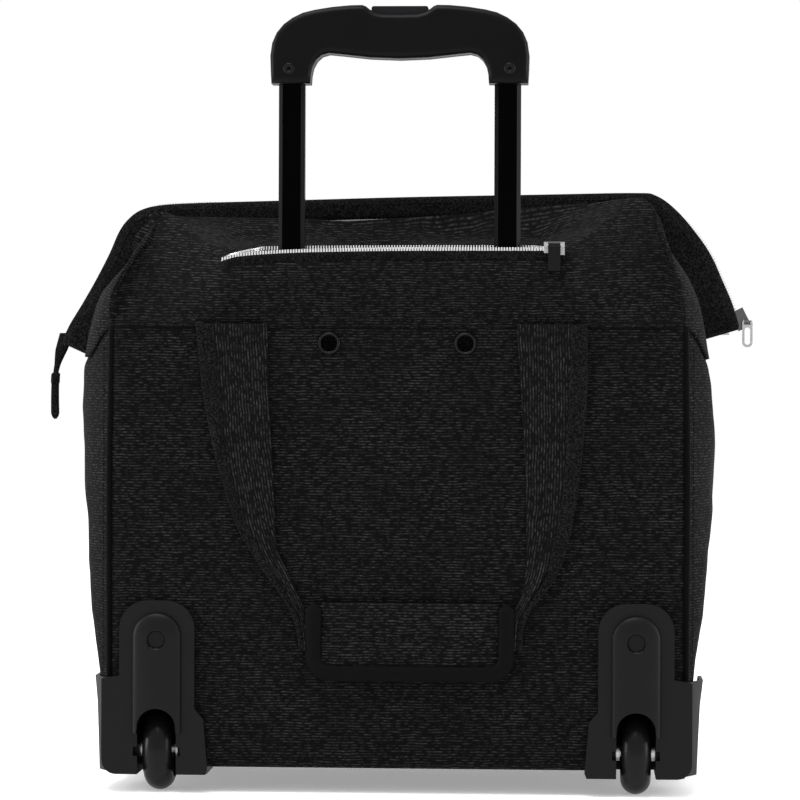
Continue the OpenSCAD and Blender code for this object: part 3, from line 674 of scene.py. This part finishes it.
def make_ear_cloth(face, side):
    """Cloth between a gable's edge, the side wall's rim and the mouth's ear, folded in under the ridge."""
    rows, cols = 44, 34
    edge = spaced(LEFT_EDGE if side < 0 else RIGHT_EDGE[::-1], rows)
    inner = mouth_line(9 * MM, 25 * MM)
    if side < 0:
        inner = lerp(inner, mouth_line(9 * MM, 12 * MM), smooth((inner[:, 2:] - 345 * MM) / (30 * MM)))
    inner = inner[inner[:, 0] * side > 164 * MM]
    inner = inner if side < 0 else inner[::-1]
    inner[:, 1] = -6.5 * MM
    far = even(np.vstack([inner[:-1], edge[-1:]]), rows)
    y = np.linspace(edge[0, 1], far[0, 1], cols)
    rim_z = gusset_rim(y) - 1.5 * MM
    rim = np.stack([side * (side_x(y, rim_z, side) - 0.1 * MM), y, rim_z], 1)
    t = np.linspace(0, 1, rows)[:, None]
    s = np.linspace(0, 1, cols)[None, :]
    points = edge[:, None, :] * (1 - s[..., None]) + far[:, None, :] * s[..., None]
    points = points + (rim - points[0])[None] * (1 - t[..., None]) ** 2.2
    out = np.array([side * 0.8, -0.35, 0.5])
    across = np.sin(s * math.pi)
    puff_depth, fold_at, fold_depth, lump_depth = (9, 0.72, 24, 8) if side < 0 else (5, 0.66, 8, 2)
    puff = puff_depth * MM * hill(t, 0.3, 0.2) * across
    fold = fold_depth * MM * hill(t, fold_at, 0.1) * np.sin(s ** 0.8 * math.pi) ** 1.5
    lump = lump_depth * MM * hill(t, 0.92, 0.06) * across
    wave = cloth_noise(points, 30 * MM, 81 + side * 3 + face) * 1.6 * MM * across * np.sin(t * math.pi)
    weave = points[..., 1:].copy()
    points = points + (puff - fold + lump + wave)[..., None] * out
    top_piece(SIDES[side] + "_ear_cloth", face, points, weave)


def top_piece(name, face, points, weave):
    """One piece of the top cloth, from the case below to its half of the mouth above, tied to no body."""
    facing = (np.sign(points[..., 0].mean()), 0, 0.3) if "ear" in name else (0, face * 0.5, 0.6)
    obj = sheet(f"{FACES[face]}_{name}", points * [1, -face, 1], facing, TOP_CLOTH, weave)
    finish_piece(obj, SLUB, None, [FACES[face] + "_top_panel"])
    apply_modifiers(obj)
    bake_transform(obj)


# ---------- mouth ----------

def make_band(face):
    """Padded band of one half of the mouth: narrow along the ridge and broad on the ears."""
    width = lerp(15 * MM, 31 * MM, EAR)
    run = along(EDGE)
    wobble = cloth_noise(EDGE + [0, face * 0.2, 0], 40 * MM, 41 + face) * 0.7 * MM
    centre = EDGE + INWARD * (width / 2)[:, None]
    centre[:, 1] = face * (4.0 * MM + 0.4 * wobble)
    close = np.clip(np.minimum(run, run[-1] - run) / (4 * MM), 0.0, 1)
    ends = np.sqrt(np.clip(1 - (1 - close) ** 2, 0.02, 1))
    section = superellipse(28, 3.4)
    section[:, 1] *= 1 - 0.35 * np.clip(-section[:, 0] - 0.55, 0, 1) / 0.45
    rings = swept(centre, INWARD, (0, face, 0), width / 2 * lerp(0.9, 1, ends),
                  (2.7 * MM + wobble * 0.3) * ends, section)
    weave = np.stack(np.meshgrid(section[:, 0] * 10 * MM, run)[::-1], -1)
    obj = loft(FACES[face] + "_band", rings, weave)
    finish_piece(obj, BAND, FACES[face] + "_mouth", [FACES[face] + "_mouth_band"])


def make_teeth(name, points, up, turn, size, body, nodes=()):
    """Zip teeth: one small block at every pitch. Up points through the tape, and turn picks its side."""
    path = resample(points, TOOTH_PITCH)
    d = tangents(path)
    verts, faces = [], []
    block = [(-1, -1, -1), (1, -1, -1), (1, 1, -1), (-1, 1, -1),
             (-0.8, -1, 1), (0.8, -1, 1), (0.8, 1, 1), (-0.8, 1, 1)]
    quads = [(0, 3, 2, 1), (4, 5, 6, 7), (0, 1, 5, 4), (1, 2, 6, 5), (2, 3, 7, 6), (3, 0, 4, 7)]
    half, through = np.array(size) * 0.5 * MM, np.array(up)
    for point, along_row in zip(path, d):
        off = turn * np.cross(along_row, up)
        off /= np.linalg.norm(off)
        base = len(verts)
        for a, b, c in block:
            verts.append(point + along_row * a * half[0] * 1.5 + off * b * half[1] + through * c * half[2])
        faces += [tuple(base + k for k in quad) for quad in quads]
    obj = new_mesh(name, verts, faces)
    outward(obj)
    round_edges(obj, 0.16 * MM, 2)
    finish_piece(obj, TEETH, body, nodes, shade=False)


def make_mouth_zip(face):
    """One row of the mouth zip: tape between the bands, with teeth along its outer edge."""
    name, body = FACES[face] + "_mouth_zip", FACES[face] + "_mouth"
    points = EDGE + INWARD * 4.6 * MM
    points[:, 1] = face * 0.75 * MM
    rings = swept(points, INWARD, (0, face, 0), 4.6 * MM, 0.4 * MM, superellipse(8, 4))
    finish_piece(loft(name + "_tape", rings), TAPE, body, [name + "_row"])
    x, z = EDGE[:, 0], EDGE[:, 2]
    left_proud = smooth((-x - 120 * MM) / (20 * MM)) * smooth((z - 398 * MM) / (5 * MM)) * 0.7
    proud = np.where(x > 0, smooth((x - 190 * MM) / (12 * MM)), left_proud)
    points = EDGE - INWARD * lerp(-1.4 * MM, 0.5 * MM, proud)[:, None]
    points[:, 1] = face * 0.75 * MM
    make_teeth(name + "_teeth", points, (0, face, 0), face, (0.8, 2.0, 1.4), body)


def stitches(name, points, lift, body, nodes=()):
    """A row of top stitches along a path. Lift is the direction off the cloth."""
    path = resample(points, STITCH_PITCH)
    lift = np.array(lift, float)
    verts, faces = [], []
    for point, run in zip(path, tangents(path)):
        side = np.cross(run, lift)
        ring = [(side * math.cos(a) + lift * math.sin(a)) for a in np.arange(6) * math.pi / 3]
        base = len(verts)
        for t, r in ((-0.5, 0.35), (-0.38, 1), (0.38, 1), (0.5, 0.35)):
            verts += [point + run * t * STITCH_LENGTH + q * STITCH_R * r for q in ring]
        for k in range(3):
            for m in range(6):
                a, b = base + k * 6 + m, base + k * 6 + (m + 1) % 6
                faces.append((a, b, b + 6, a + 6))
        faces.append(tuple(base + m for m in range(5, -1, -1)))
        faces.append(tuple(base + 18 + m for m in range(6)))
    obj = new_mesh(name, verts, faces)
    outward(obj)
    finish_piece(obj, THREAD, body, nodes)


def make_band_stitches(face):
    """Stitch line along each band, a little inside its outer edge."""
    points = mouth_line(4.5 * MM, 6.5 * MM)[3:-3]
    points[:, 1] = face * 6.7 * MM
    body = FACES[face] + "_mouth"
    stitches(body + "_band_stitches", points, (0, face, 0), body)


def make_tail_tab():
    """Tape end that hangs from the left ear: it narrows to a collar and ends in a soft tab."""
    path = smooth_path(np.array([(-240.5, 0, 312), (-244.5, 0, 300), (-247.2, 0, 290), (-248.6, 0, 282),
                                 (-249, 0, 268), (-248.8, 0, 251)]) * MM, 1 * MM)
    z = path[:, 2] / MM
    half = np.interp(z, [251, 252.5, 255, 276, 277, 283, 284, 290, 300, 312],
                     [0.8, 2.2, 3.0, 2.8, 3.2, 3.2, 1.9, 2.3, 4.4, 5.2])
    thick = np.interp(z, [251, 253, 276, 277, 283, 284, 312], [0.6, 1.5, 1.5, 2.1, 2.1, 1.2, 1.6])
    rings = swept(path, ACROSS, (0, 1.0, 0), half * MM, thick * MM, superellipse(16, 3))
    finish_piece(loft("mouth_tail_tab", rings), BAND, "rear_mouth", ["mouth_zip_tail_tab"])


# ---------- trolley zip ----------

def make_trolley_zip():
    """Both rows of the open trolley zip, with their tapes."""
    lift = [0, 0, 0.9 * MM]
    front = spaced(ZIP_LINE, 200)[:-12] + lift
    back = spaced(BACK_ZIP, 300)[4:-16] + lift
    make_teeth("trolley_zip_front_teeth", front, UP, 1, (0.95, 3.4, 2.4), "case", ["trolley_zip_front_row"])
    make_teeth("trolley_zip_back_teeth", back, UP, -1, (0.75, 3.4, 2.6), "case", ["trolley_zip_back_row"])
    tape = spaced(ZIP_LINE, 60) + [0, -1.8 * MM, -3.6 * MM]
    rings = swept(tape, (0, 0.12, 1.0), (0, -1.0, 0), 3.6 * MM, 0.9 * MM, superellipse(10, 3))
    finish_piece(loft("trolley_zip_front_tape", rings), TAPE, "case")
    d = tangents(back)
    side = np.stack([-d[:, 1], d[:, 0], np.zeros(len(d))], 1)
    rings = swept(back + side * 3.4 * MM + [0, 0, -1.0 * MM], side + [0, 0, 0.25], UP, 4.2 * MM, 0.5 * MM,
                  superellipse(8, 3))
    finish_piece(loft("trolley_zip_back_tape", rings), TAPE, "case")


# ---------- carry handles ----------

# Each strap in millimetres: height, then X of its outer edge, its edge band's inner side and its inner edge
LEFT_STRAP = [(317, -135.8, -124.3, -88), (272, -131, -120, -87), (234, -124, -116.5, -84.7),
              (194, -112.5, -105.5, -82.8), (175, -105.5, -97.5, -82), (164, -98, -91, -80.5),
              (153, -91, -84.5, -75.5), (145, -85.3, -79.5, -71), (133, -76, -71.5, -65.5),
              (118, -68, -64, -58), (96, -64, -61, -55)]
RIGHT_STRAP = [(317, 127.6, 117.5, 80.7), (272, 127.8, 116.3, 84), (234, 125, 114.4, 86.2),
               (203, 121.4, 112, 87.8), (180, 117.5, 108.5, 88), (165, 114.2, 105, 88), (152, 110, 101, 87.5),
               (142, 104.5, 97, 86.5), (133, 95.5, 90.5, 84), (118, 86, 82, 75), (96, 84, 81, 74)]


def make_strap(face, side):
    """One strap of a carry handle: slub cloth with a dark outer band, gathered towards the wrap."""
    body = FACES[face] + "_handle"
    table = np.array(LEFT_STRAP if side < 0 else RIGHT_STRAP)[::-1] * MM
    z = np.linspace(STRAP_TOP, STRAP_END, 100)
    lines = [np.interp(z, table[:, 0], table[:, k]) for k in (1, 2, 3)]
    outer, split, inner = [np.convolve(np.pad(line, 3, "edge"), np.ones(7) / 7, "valid") for line in lines]
    gather = smooth((GATHER_Z - z) / (35 * MM))
    run = STRAP_TOP - z
    slack = np.sin(np.clip(run / (180 * MM), 0, 1) * math.pi)
    surface = REAR + 4.2 * MM + 1.6 * MM * slack + gather * 1.0 * MM
    crease = hill(z, 186 * MM, 5 * MM)
    for part, (a, b), thickness in (("cloth", (inner, split), 1.3), ("edge", (split, outer), 1.8)):
        middle, half = (a + b) / 2, np.abs(b - a) / 2 + 0.4 * MM
        spot = np.stack([middle, np.full(len(z), face * side * 0.3), z], 1)
        lift = cloth_noise(spot, 50 * MM, 51 + side * 3 + face) * 0.6 * MM
        path = np.stack([middle, face * (surface + lift - crease * 0.8 * MM), z], 1)
        across = np.tile(ACROSS, (len(z), 1))
        if part == "cloth":
            across[:, 1] = face * side * 0.55 * gather
            across /= np.linalg.norm(across, axis=1, keepdims=True)
        shape = superellipse(26, 3.2)
        rings = swept(path, across, (0, face, 0), half, (thickness + 1.5 * gather) * MM, shape)
        ripple = cloth_noise(rings * [1, 1, 0.55], 16 * MM, 57 + side + face)
        rings[..., 1] += face * ripple * (0.35 + 0.5 * gather[:, None]) * MM
        weave = np.stack(np.meshgrid(shape[:, 0] * 15 * MM, run), -1)
        weave[..., 0] *= (half / (15 * MM))[:, None]
        obj = loft(f"{body}_{SIDES[side]}_strap_{part}", rings, weave)
        if part == "cloth":
            finish_piece(obj, STRAP, body, [body + "_straps"])
        else:
            finish_piece(obj, BAND, body)


def make_wrap(face):
    """Padded hook-and-loop wrap at the bottom of a carry handle, with a rolled binding on three sides."""
    body = FACES[face] + "_handle"
    low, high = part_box(body + "_wrap")
    x0, x1, z0, z1 = low.x, high.x, low.z + 1.5 * MM, high.z + 2 * MM
    inner_y, outer_y = sorted((abs(low.y), abs(high.y)))
    seam_z = (z0 + z1 + 4 * MM) / 2
    middle = (inner_y + outer_y) / 2 - 0.5 * MM
    u, v = np.meshgrid(np.linspace(-1, 1, 84), np.linspace(-1, 1, 40))
    inset = 9 * MM
    x, z = rounded_square(u, v, (x1 - x0) / 2 - inset, (z1 - z0 - inset) / 2, 5 * MM)
    x, z = x + (x0 + x1) / 2, z + (z0 + z1 + inset) / 2
    rim = np.maximum(np.abs(u), np.abs(v))
    crown = (1 - rim ** 4) ** 0.5
    spot = np.stack([x, np.full_like(x, face * 0.4), z], -1)
    dent = cloth_noise(spot, 34 * MM, 61) * 0.8 * MM
    pull = 1.3 * MM * hill(z, seam_z, 2.2 * MM)
    front = middle + (outer_y - middle - 1.2 * MM) * crown + (dent - pull) * crown
    back = middle - (middle - inner_y) * crown * 0.9
    points = np.concatenate([np.stack([x, face * front, z], -1).reshape(-1, 3),
                             np.stack([x, face * back, z], -1).reshape(-1, 3)])
    faces = grid_faces(*u.shape)
    faces += [tuple(k + u.size for k in f[::-1]) for f in faces]
    weave = np.tile(np.stack([x, z], -1).reshape(-1, 2), (2, 1))
    obj = new_mesh(body + "_wrap_pad", points, faces, weave)
    outward(obj, 0.02 * MM)
    smoother = obj.modifiers.new("subdivision", "SUBSURF")
    smoother.levels = smoother.render_levels = 1
    finish_piece(obj, WRAP, body, [body + "_wrap"])
    # Binding round the left, lower and right edges
    half, corner = 5.6 * MM, 17 * MM
    bend = corner - half
    turn = np.linspace(0, math.pi / 2, 9)
    bend_x, bend_z = bend * np.cos(turn), z0 + corner - bend * np.sin(turn)
    loop = [(x0 + half, z1 - 1 * MM), (x0 + half, (z0 + z1) / 2), *zip(x0 + corner - bend_x, bend_z),
            *zip((x1 - corner + bend_x)[::-1], bend_z[::-1]),
            (x1 - half, (z0 + z1) / 2), (x1 - half, z1 - 1 * MM)]
    path = resample(loop, 2 * MM)
    run = along(path)
    d = tangents(path)
    inward = np.stack([-d[:, 1], np.zeros(len(d)), d[:, 0]], 1)
    spot = np.stack([path[:, 0], np.full(len(path), face * 0.3), path[:, 1]], 1)
    soft = cloth_noise(spot, 30 * MM, 65) * 0.5 * MM
    points = np.stack([path[:, 0], face * (middle + 0.8 * MM + soft), path[:, 1]], 1)
    ends = np.sqrt(np.clip(np.minimum(run, run[-1] - run) / (4 * MM), 0.08, 1))
    rings = swept(points, inward + [0, face * 0.12, 0], (0, face, 0), half * ends, (4.3 * MM + soft) * ends,
                  superellipse(24, 2.5))
    binding = loft(body + "_wrap_binding", rings)
    finish_piece(binding, BINDING, body)
    line = [(x, face * (outer_y - 2.0 * MM), seam_z) for x in (x0 + 14 * MM, x1 - 14 * MM)]
    stitches(body + "_wrap_stitches", line, (0, face, 0), body)


# ---------- trims ----------

def make_piping(face):
    """Cords down the two upright edges of a panel."""
    for side in (-1, 1):
        path = smooth_path([(side * (HALF_W - 0.3 * MM), face * (REAR - 3.4 * MM), BASE_Z + 3 * MM),
                            (side * (HALF_W + 0.1 * MM), face * (REAR - 2.6 * MM), 120 * MM),
                            (side * (HALF_W + 0.3 * MM), face * (REAR - 2.6 * MM), 220 * MM),
                            (side * (HALF_W - 1.2 * MM), face * (REAR - 2.8 * MM), SEAM_Z - 2 * MM)], 3 * MM)
        rings = swept(path, ACROSS, (0, 1.0, 0), 2.1 * MM, 2.1 * MM, superellipse(12, 2))
        obj = loft(f"{FACES[face]}_{SIDES[side]}_piping", rings)
        finish_piece(obj, PIPING, "case", [FACES[face] + "_piping"])


def make_side_seams():
    """Stitched seams a little inside each gusset's edges."""
    z = np.linspace(82 * MM, 300 * MM, 80)
    for side in (-1, 1):
        for face in (-1, 1):
            y = np.full_like(z, face * (REAR - 14 * MM))
            x = side_x(y, z, side) - 0.3 * MM
            stitches(f"{FACES[face]}_{SIDES[side]}_gusset_stitches", np.stack([side * x, y, z], 1),
                     (side * 0.8, face * 0.6, 0), "case", ["side_seams"])


def make_shoulder_seam(face):
    """Stitches along the seam between a panel and its top panel."""
    x = HALF_W - 6 * MM
    line = even([(place, face * (REAR + 1.5 * MM), SEAM_Z + 3.5 * MM) for place in (-x, x)], 120)
    stitches(FACES[face] + "_shoulder_stitches", line, (0, face, 0), "case")


def make_tyre(side):
    """Round-backed tyre with a faint mould line round its middle."""
    name = SIDES[side]
    r = (WHEEL_HIGH.z - WHEEL_LOW.z) / 2
    h = (WHEEL_HIGH.x - WHEEL_LOW.x) / 2
    bed = 18 * MM
    profile = [(bed, -7.5 * MM), (bed, 7.5 * MM), (bed + 0.6 * MM, 8.6 * MM)]
    for a in np.linspace(math.radians(78), -math.radians(78), 23):
        ridge = 0.12 * MM if abs(a) < 0.03 else 0
        profile.append((r - h + h * math.cos(a) + ridge, h * math.sin(a)))
    profile.append((bed + 0.6 * MM, -8.6 * MM))
    obj = turned(name + "_tyre_ring", profile, 96,
                 lambda r, d, a: (side * WHEEL.x + d, WHEEL.y + r * math.cos(a), WHEEL.z + r * math.sin(a)))
    finish_piece(obj, TYRE, name + "_wheel", [name + "_tyre"])


def make_eyelets():
    """Domed metal ring with its barrel, at each eyelet."""
    profile = [(5.4, 4.5), (5.4, -1.2), (5.8, -2.0), (6.5, -2.4), (7.2, -2.0), (7.8, -1.0), (7.8, -0.2),
               (6.2, 0.0), (6.1, 4.5)]
    for side in (-1, 1):
        obj = turned(SIDES[side] + "_eyelet_ring", profile, 40,
                     lambda r, d, a: (side * EYELET_X + r * MM * math.cos(a), -REAR - 0.6 * MM + d * MM,
                                      EYELET_Z + r * MM * math.sin(a)))
        finish_piece(obj, EYELET_METAL, "case", ["rear_eyelets"])


def make_fender(side):
    """Domed fender over a wheel, with the screw's recess near its top."""
    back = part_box(SIDES[side] + "_wheel_housing")[0].y
    rows, cols = 90, 61
    arch = 13.4 * MM
    x = np.linspace(-FENDER_R, FENDER_R, cols)
    top = FENDER_CROWN + np.sqrt(np.maximum(FENDER_R ** 2 - x ** 2, 0))
    bottom = np.where(np.abs(x) < arch, 44 * MM + np.sqrt(np.maximum(arch ** 2 - x ** 2, 0)), 40 * MM)
    z = lerp(bottom, top, np.linspace(0, 1, rows)[:, None])
    x = np.broadcast_to(x, z.shape)
    radius = np.hypot(x, np.maximum(z - FENDER_CROWN, 0))
    dome = np.sqrt(np.clip(1 - (radius / FENDER_R) ** 2, 0, 1))
    y = back + 1.6 * MM - 5.2 * MM * dome
    y = np.where(np.hypot(x, z - SCREW_Z) < RECESS_R, np.maximum(y, back + 0.6 * MM), y)
    points = np.stack([x + side * WHEEL.x, y, z], -1)
    obj = sheet(SIDES[side] + "_fender_dome", points, (0, -1, 0), FENDER_WALL)
    finish_piece(obj, HOUSING, "case")


# ---------- grip ----------

def grip_outline():
    """Right half of the grip's outline from behind, as X and height above the sockets' lower ends."""
    low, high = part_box("grip_rear_shell")
    g, t = high.x / MM, (high.z - low.z) / MM
    outline = [(0, t - 6.4), (12, t - 6.2), (17, t - 5.1), (20.5, t - 3.1), (23, t - 1.1), (25.5, t - 0.2),
               (34, t - 0.4), (46, t - 1.5), (58, t - 3.4), (66, t - 5.4), (73, t - 8.8), (79, t - 13.2),
               (83.8, t - 19), (86.8, t - 26), (g, t - 34.5), (g - 0.3, 9), (g - 0.8, 0), (60.6, 0),
               (60.2, 6), (59, 11.5), (56.5, 16), (53, 19.2), (48, 20.6), (38, 19.6), (20, 17.6), (0, 16.8)]
    return [(x * MM, z * MM) for x, z in outline]


def make_grip():
    """The grip's two shells as rounded mouldings, split along the middle."""
    low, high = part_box("grip_rear_shell")
    right = grip_outline()
    outline = right + [(-x, z) for x, z in right[-2:0:-1]]
    depth = high.y - low.y - 0.1 * MM
    for face in (-1, 1):
        bm = bmesh.new()
        split = TUBE_Y + face * 0.12 * MM
        flat = bm.faces.new([bm.verts.new((x, split, low.z + z)) for x, z in outline])
        made = bmesh.ops.extrude_face_region(bm, geom=[flat])
        moved = [v for v in made["geom"] if isinstance(v, bmesh.types.BMVert)]
        bmesh.ops.translate(bm, verts=moved, vec=(0, face * depth, 0))
        bmesh.ops.recalc_face_normals(bm, faces=bm.faces)
        rim = [e for e in bm.edges if all(v in moved for v in e.verts)]
        bmesh.ops.bevel(bm, geom=rim, offset=4.6 * MM, segments=6, profile=0.5, affect="EDGES")
        seam = [e for e in bm.edges if all(abs(v.co.y - split) < 1e-6 for v in e.verts)]
        bmesh.ops.bevel(bm, geom=seam, offset=0.5 * MM, segments=2, profile=0.5, affect="EDGES")
        mesh = bpy.data.meshes.new(f"grip_{FACES[face]}_moulding")
        bm.to_mesh(mesh)
        bm.free()
        obj = new_object(mesh.name, mesh)
        finish_piece(obj, GRIP, "handle_inner", [f"grip_{FACES[face]}_shell"])


def make_screw_heads():
    """Domed heads with hexagon sockets on the back of the grip."""
    low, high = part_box("grip_screws")
    x, z, y = high.x - 3.4 * MM, (low.z + high.z) / 2, low.y - 0.35 * MM
    profile = [(3.9, 0.0), (3.8, 0.45), (3.3, 0.7), (2.4, 0.85), (1.75, 0.8), (1.6, 0.1), (0.2, 0.1)]
    socket_r = 1.8

    def place(r, d, a):
        if r < socket_r:
            r *= math.cos(math.pi / 6) / math.cos(a % (math.pi / 3) - math.pi / 6)
        return side * x + r * MM * math.cos(a), y - d * MM, z + r * MM * math.sin(a)

    for side in (-1, 1):
        obj = turned(SIDES[side] + "_grip_screw_head", profile, 36, place)
        finish_piece(obj, SLIDER, "handle_inner", ["grip_screws"])


# ---------- materials of the CAD nodes that stay ----------

def dress(material, *nodes, bevel=0.0):
    """Gives CAD nodes a material, and rounds their edges if asked."""
    for name in nodes:
        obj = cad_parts[name]
        obj.data.materials.clear()
        obj.data.materials.append(material)
        if bevel:
            round_edges(obj, bevel, 3, 40)


def dress_nodes():
    """Materials of all CAD nodes that no visible piece replaces."""
    dress(BOARD, "rear_board", "front_board", "base_board")
    dress(LINING, "trolley_pocket_wall")
    dress(SPRING, "rear_mouth_frame", "front_mouth_frame", "release_springs")
    dress(STEEL, "mouth_frame_hinges", "wheel_axles", "axle_washers", "left_wheel_bearings",
          "right_wheel_bearings", "release_rods", "trolley_foot_bracket")
    dress(DARK_METAL, "mouth_zip_slider", bevel=0.4 * MM)
    dress(PULL_METAL, "trolley_zip_slider", bevel=0.4 * MM)
    dress(SLIDER, "trolley_zip_puller", bevel=0.4 * MM)
    dress(SLIDER, "housing_screws", bevel=0.3 * MM)
    dress(PULL_METAL, "mouth_zip_pull_ring", bevel=0.4 * MM)
    dress(RAW_TUBE, "outer_tubes")
    dress(BLACK_TUBE, "middle_tubes", "inner_tubes", bevel=0.35 * MM)
    dress(MOULDED, "outer_tube_collars", "middle_tube_bushings", "inner_tube_plugs", "trolley_tube_clamp")
    dress(MOULDED, "left_front_foot", "right_front_foot", bevel=1.2 * MM)
    dress(HOUSING, "left_wheel_housing", "right_wheel_housing", bevel=1.0 * MM)
    dress(BUTTON, "release_button", bevel=0.8 * MM)
    dress(HUB, "left_wheel_hub", "right_wheel_hub", bevel=0.3 * MM)


# ---------- build ----------

for face in FACES:
    make_panel(face)
for side in SIDES:
    make_gusset(side)
make_base()
for face in FACES:
    make_upper_panel(face)
    make_mouth_slope(face)
    for side in SIDES:
        make_ear_cloth(face, side)
for make in (make_band, make_mouth_zip, make_band_stitches):
    for face in FACES:
        make(face)
make_tail_tab()
make_trolley_zip()
for face in FACES:
    for side in SIDES:
        make_strap(face, side)
    make_wrap(face)
    make_piping(face)
    make_shoulder_seam(face)
make_side_seams()
make_eyelets()
for make in (make_fender, make_tyre):
    for side in SIDES:
        make(side)
make_grip()
make_screw_heads()
dress_nodes()


# ---------- floor, lights and camera ----------

def make_floor():
    """A plain pale floor."""
    size = 6.0
    corners = [(-size, -size, 0), (size, -size, 0), (size, size, 0), (-size, size, 0)]
    obj = new_mesh("floor", corners, [(0, 1, 2, 3)])
    n = Nodes("floor_paper")
    n.shader.inputs["Base Color"].default_value = (0.9, 0.9, 0.9, 1)
    n.shader.inputs["Emission Color"].default_value = (1, 1, 1, 1)
    n.value(Roughness=0.6, Emission_Strength=0.3)
    obj.data.materials.append(n.material)


def aimed(name, data, place, rotation):
    """An object for a light or camera, at a place and turned."""
    obj = new_object(name, data)
    obj.location = place
    obj.rotation_mode = "QUATERNION"
    obj.rotation_quaternion = rotation
    return obj


def make_light(name, place, size, power):
    """A softbox that looks at the middle of the case."""
    light = bpy.data.lights.new(name, "AREA")
    light.shape = "RECTANGLE"
    light.size, light.size_y = size
    light.energy = power
    aimed(name, light, place, (Vector((0, 0, 0.3)) - Vector(place)).to_track_quat("-Z", "Y"))


def make_world():
    """Even white light from all round."""
    world = bpy.data.worlds.new("studio")
    world.use_nodes = True
    background = world.node_tree.nodes["Background"]
    background.inputs["Color"].default_value = (1, 1, 1, 1)
    background.inputs["Strength"].default_value = 1.0
    bpy.context.scene.world = world
    bpy.context.scene.view_settings.view_transform = "Standard"


def make_camera():
    """A long lens at half the height of the case and its handle, just right of straight behind."""
    distance = 2.3
    azimuth, elevation, roll = [math.radians(angle) for angle in (3.1, 0.3, 0.22)]
    aim = Vector((-3.7 * MM, 0, 265.4 * MM))
    back = Vector((math.sin(azimuth) * math.cos(elevation), -math.cos(azimuth) * math.cos(elevation),
                   math.sin(elevation)))
    data = bpy.data.cameras.new("camera")
    data.sensor_width = 36
    data.lens = 146.6
    rotation = Quaternion(back, roll) @ (-back).to_track_quat("-Z", "Y")
    bpy.context.scene.camera = aimed("camera", data, aim + back * distance, rotation)


make_floor()
make_world()
make_light("left_softbox", (-1.7, -0.25, 0.5), (0.5, 1.6), 26)
make_light("right_softbox", (1.7, -0.1, 0.5), (0.5, 1.6), 26)
make_light("top_softbox", (-0.3, -0.5, 1.9), (1.4, 0.9), 30)
make_camera()
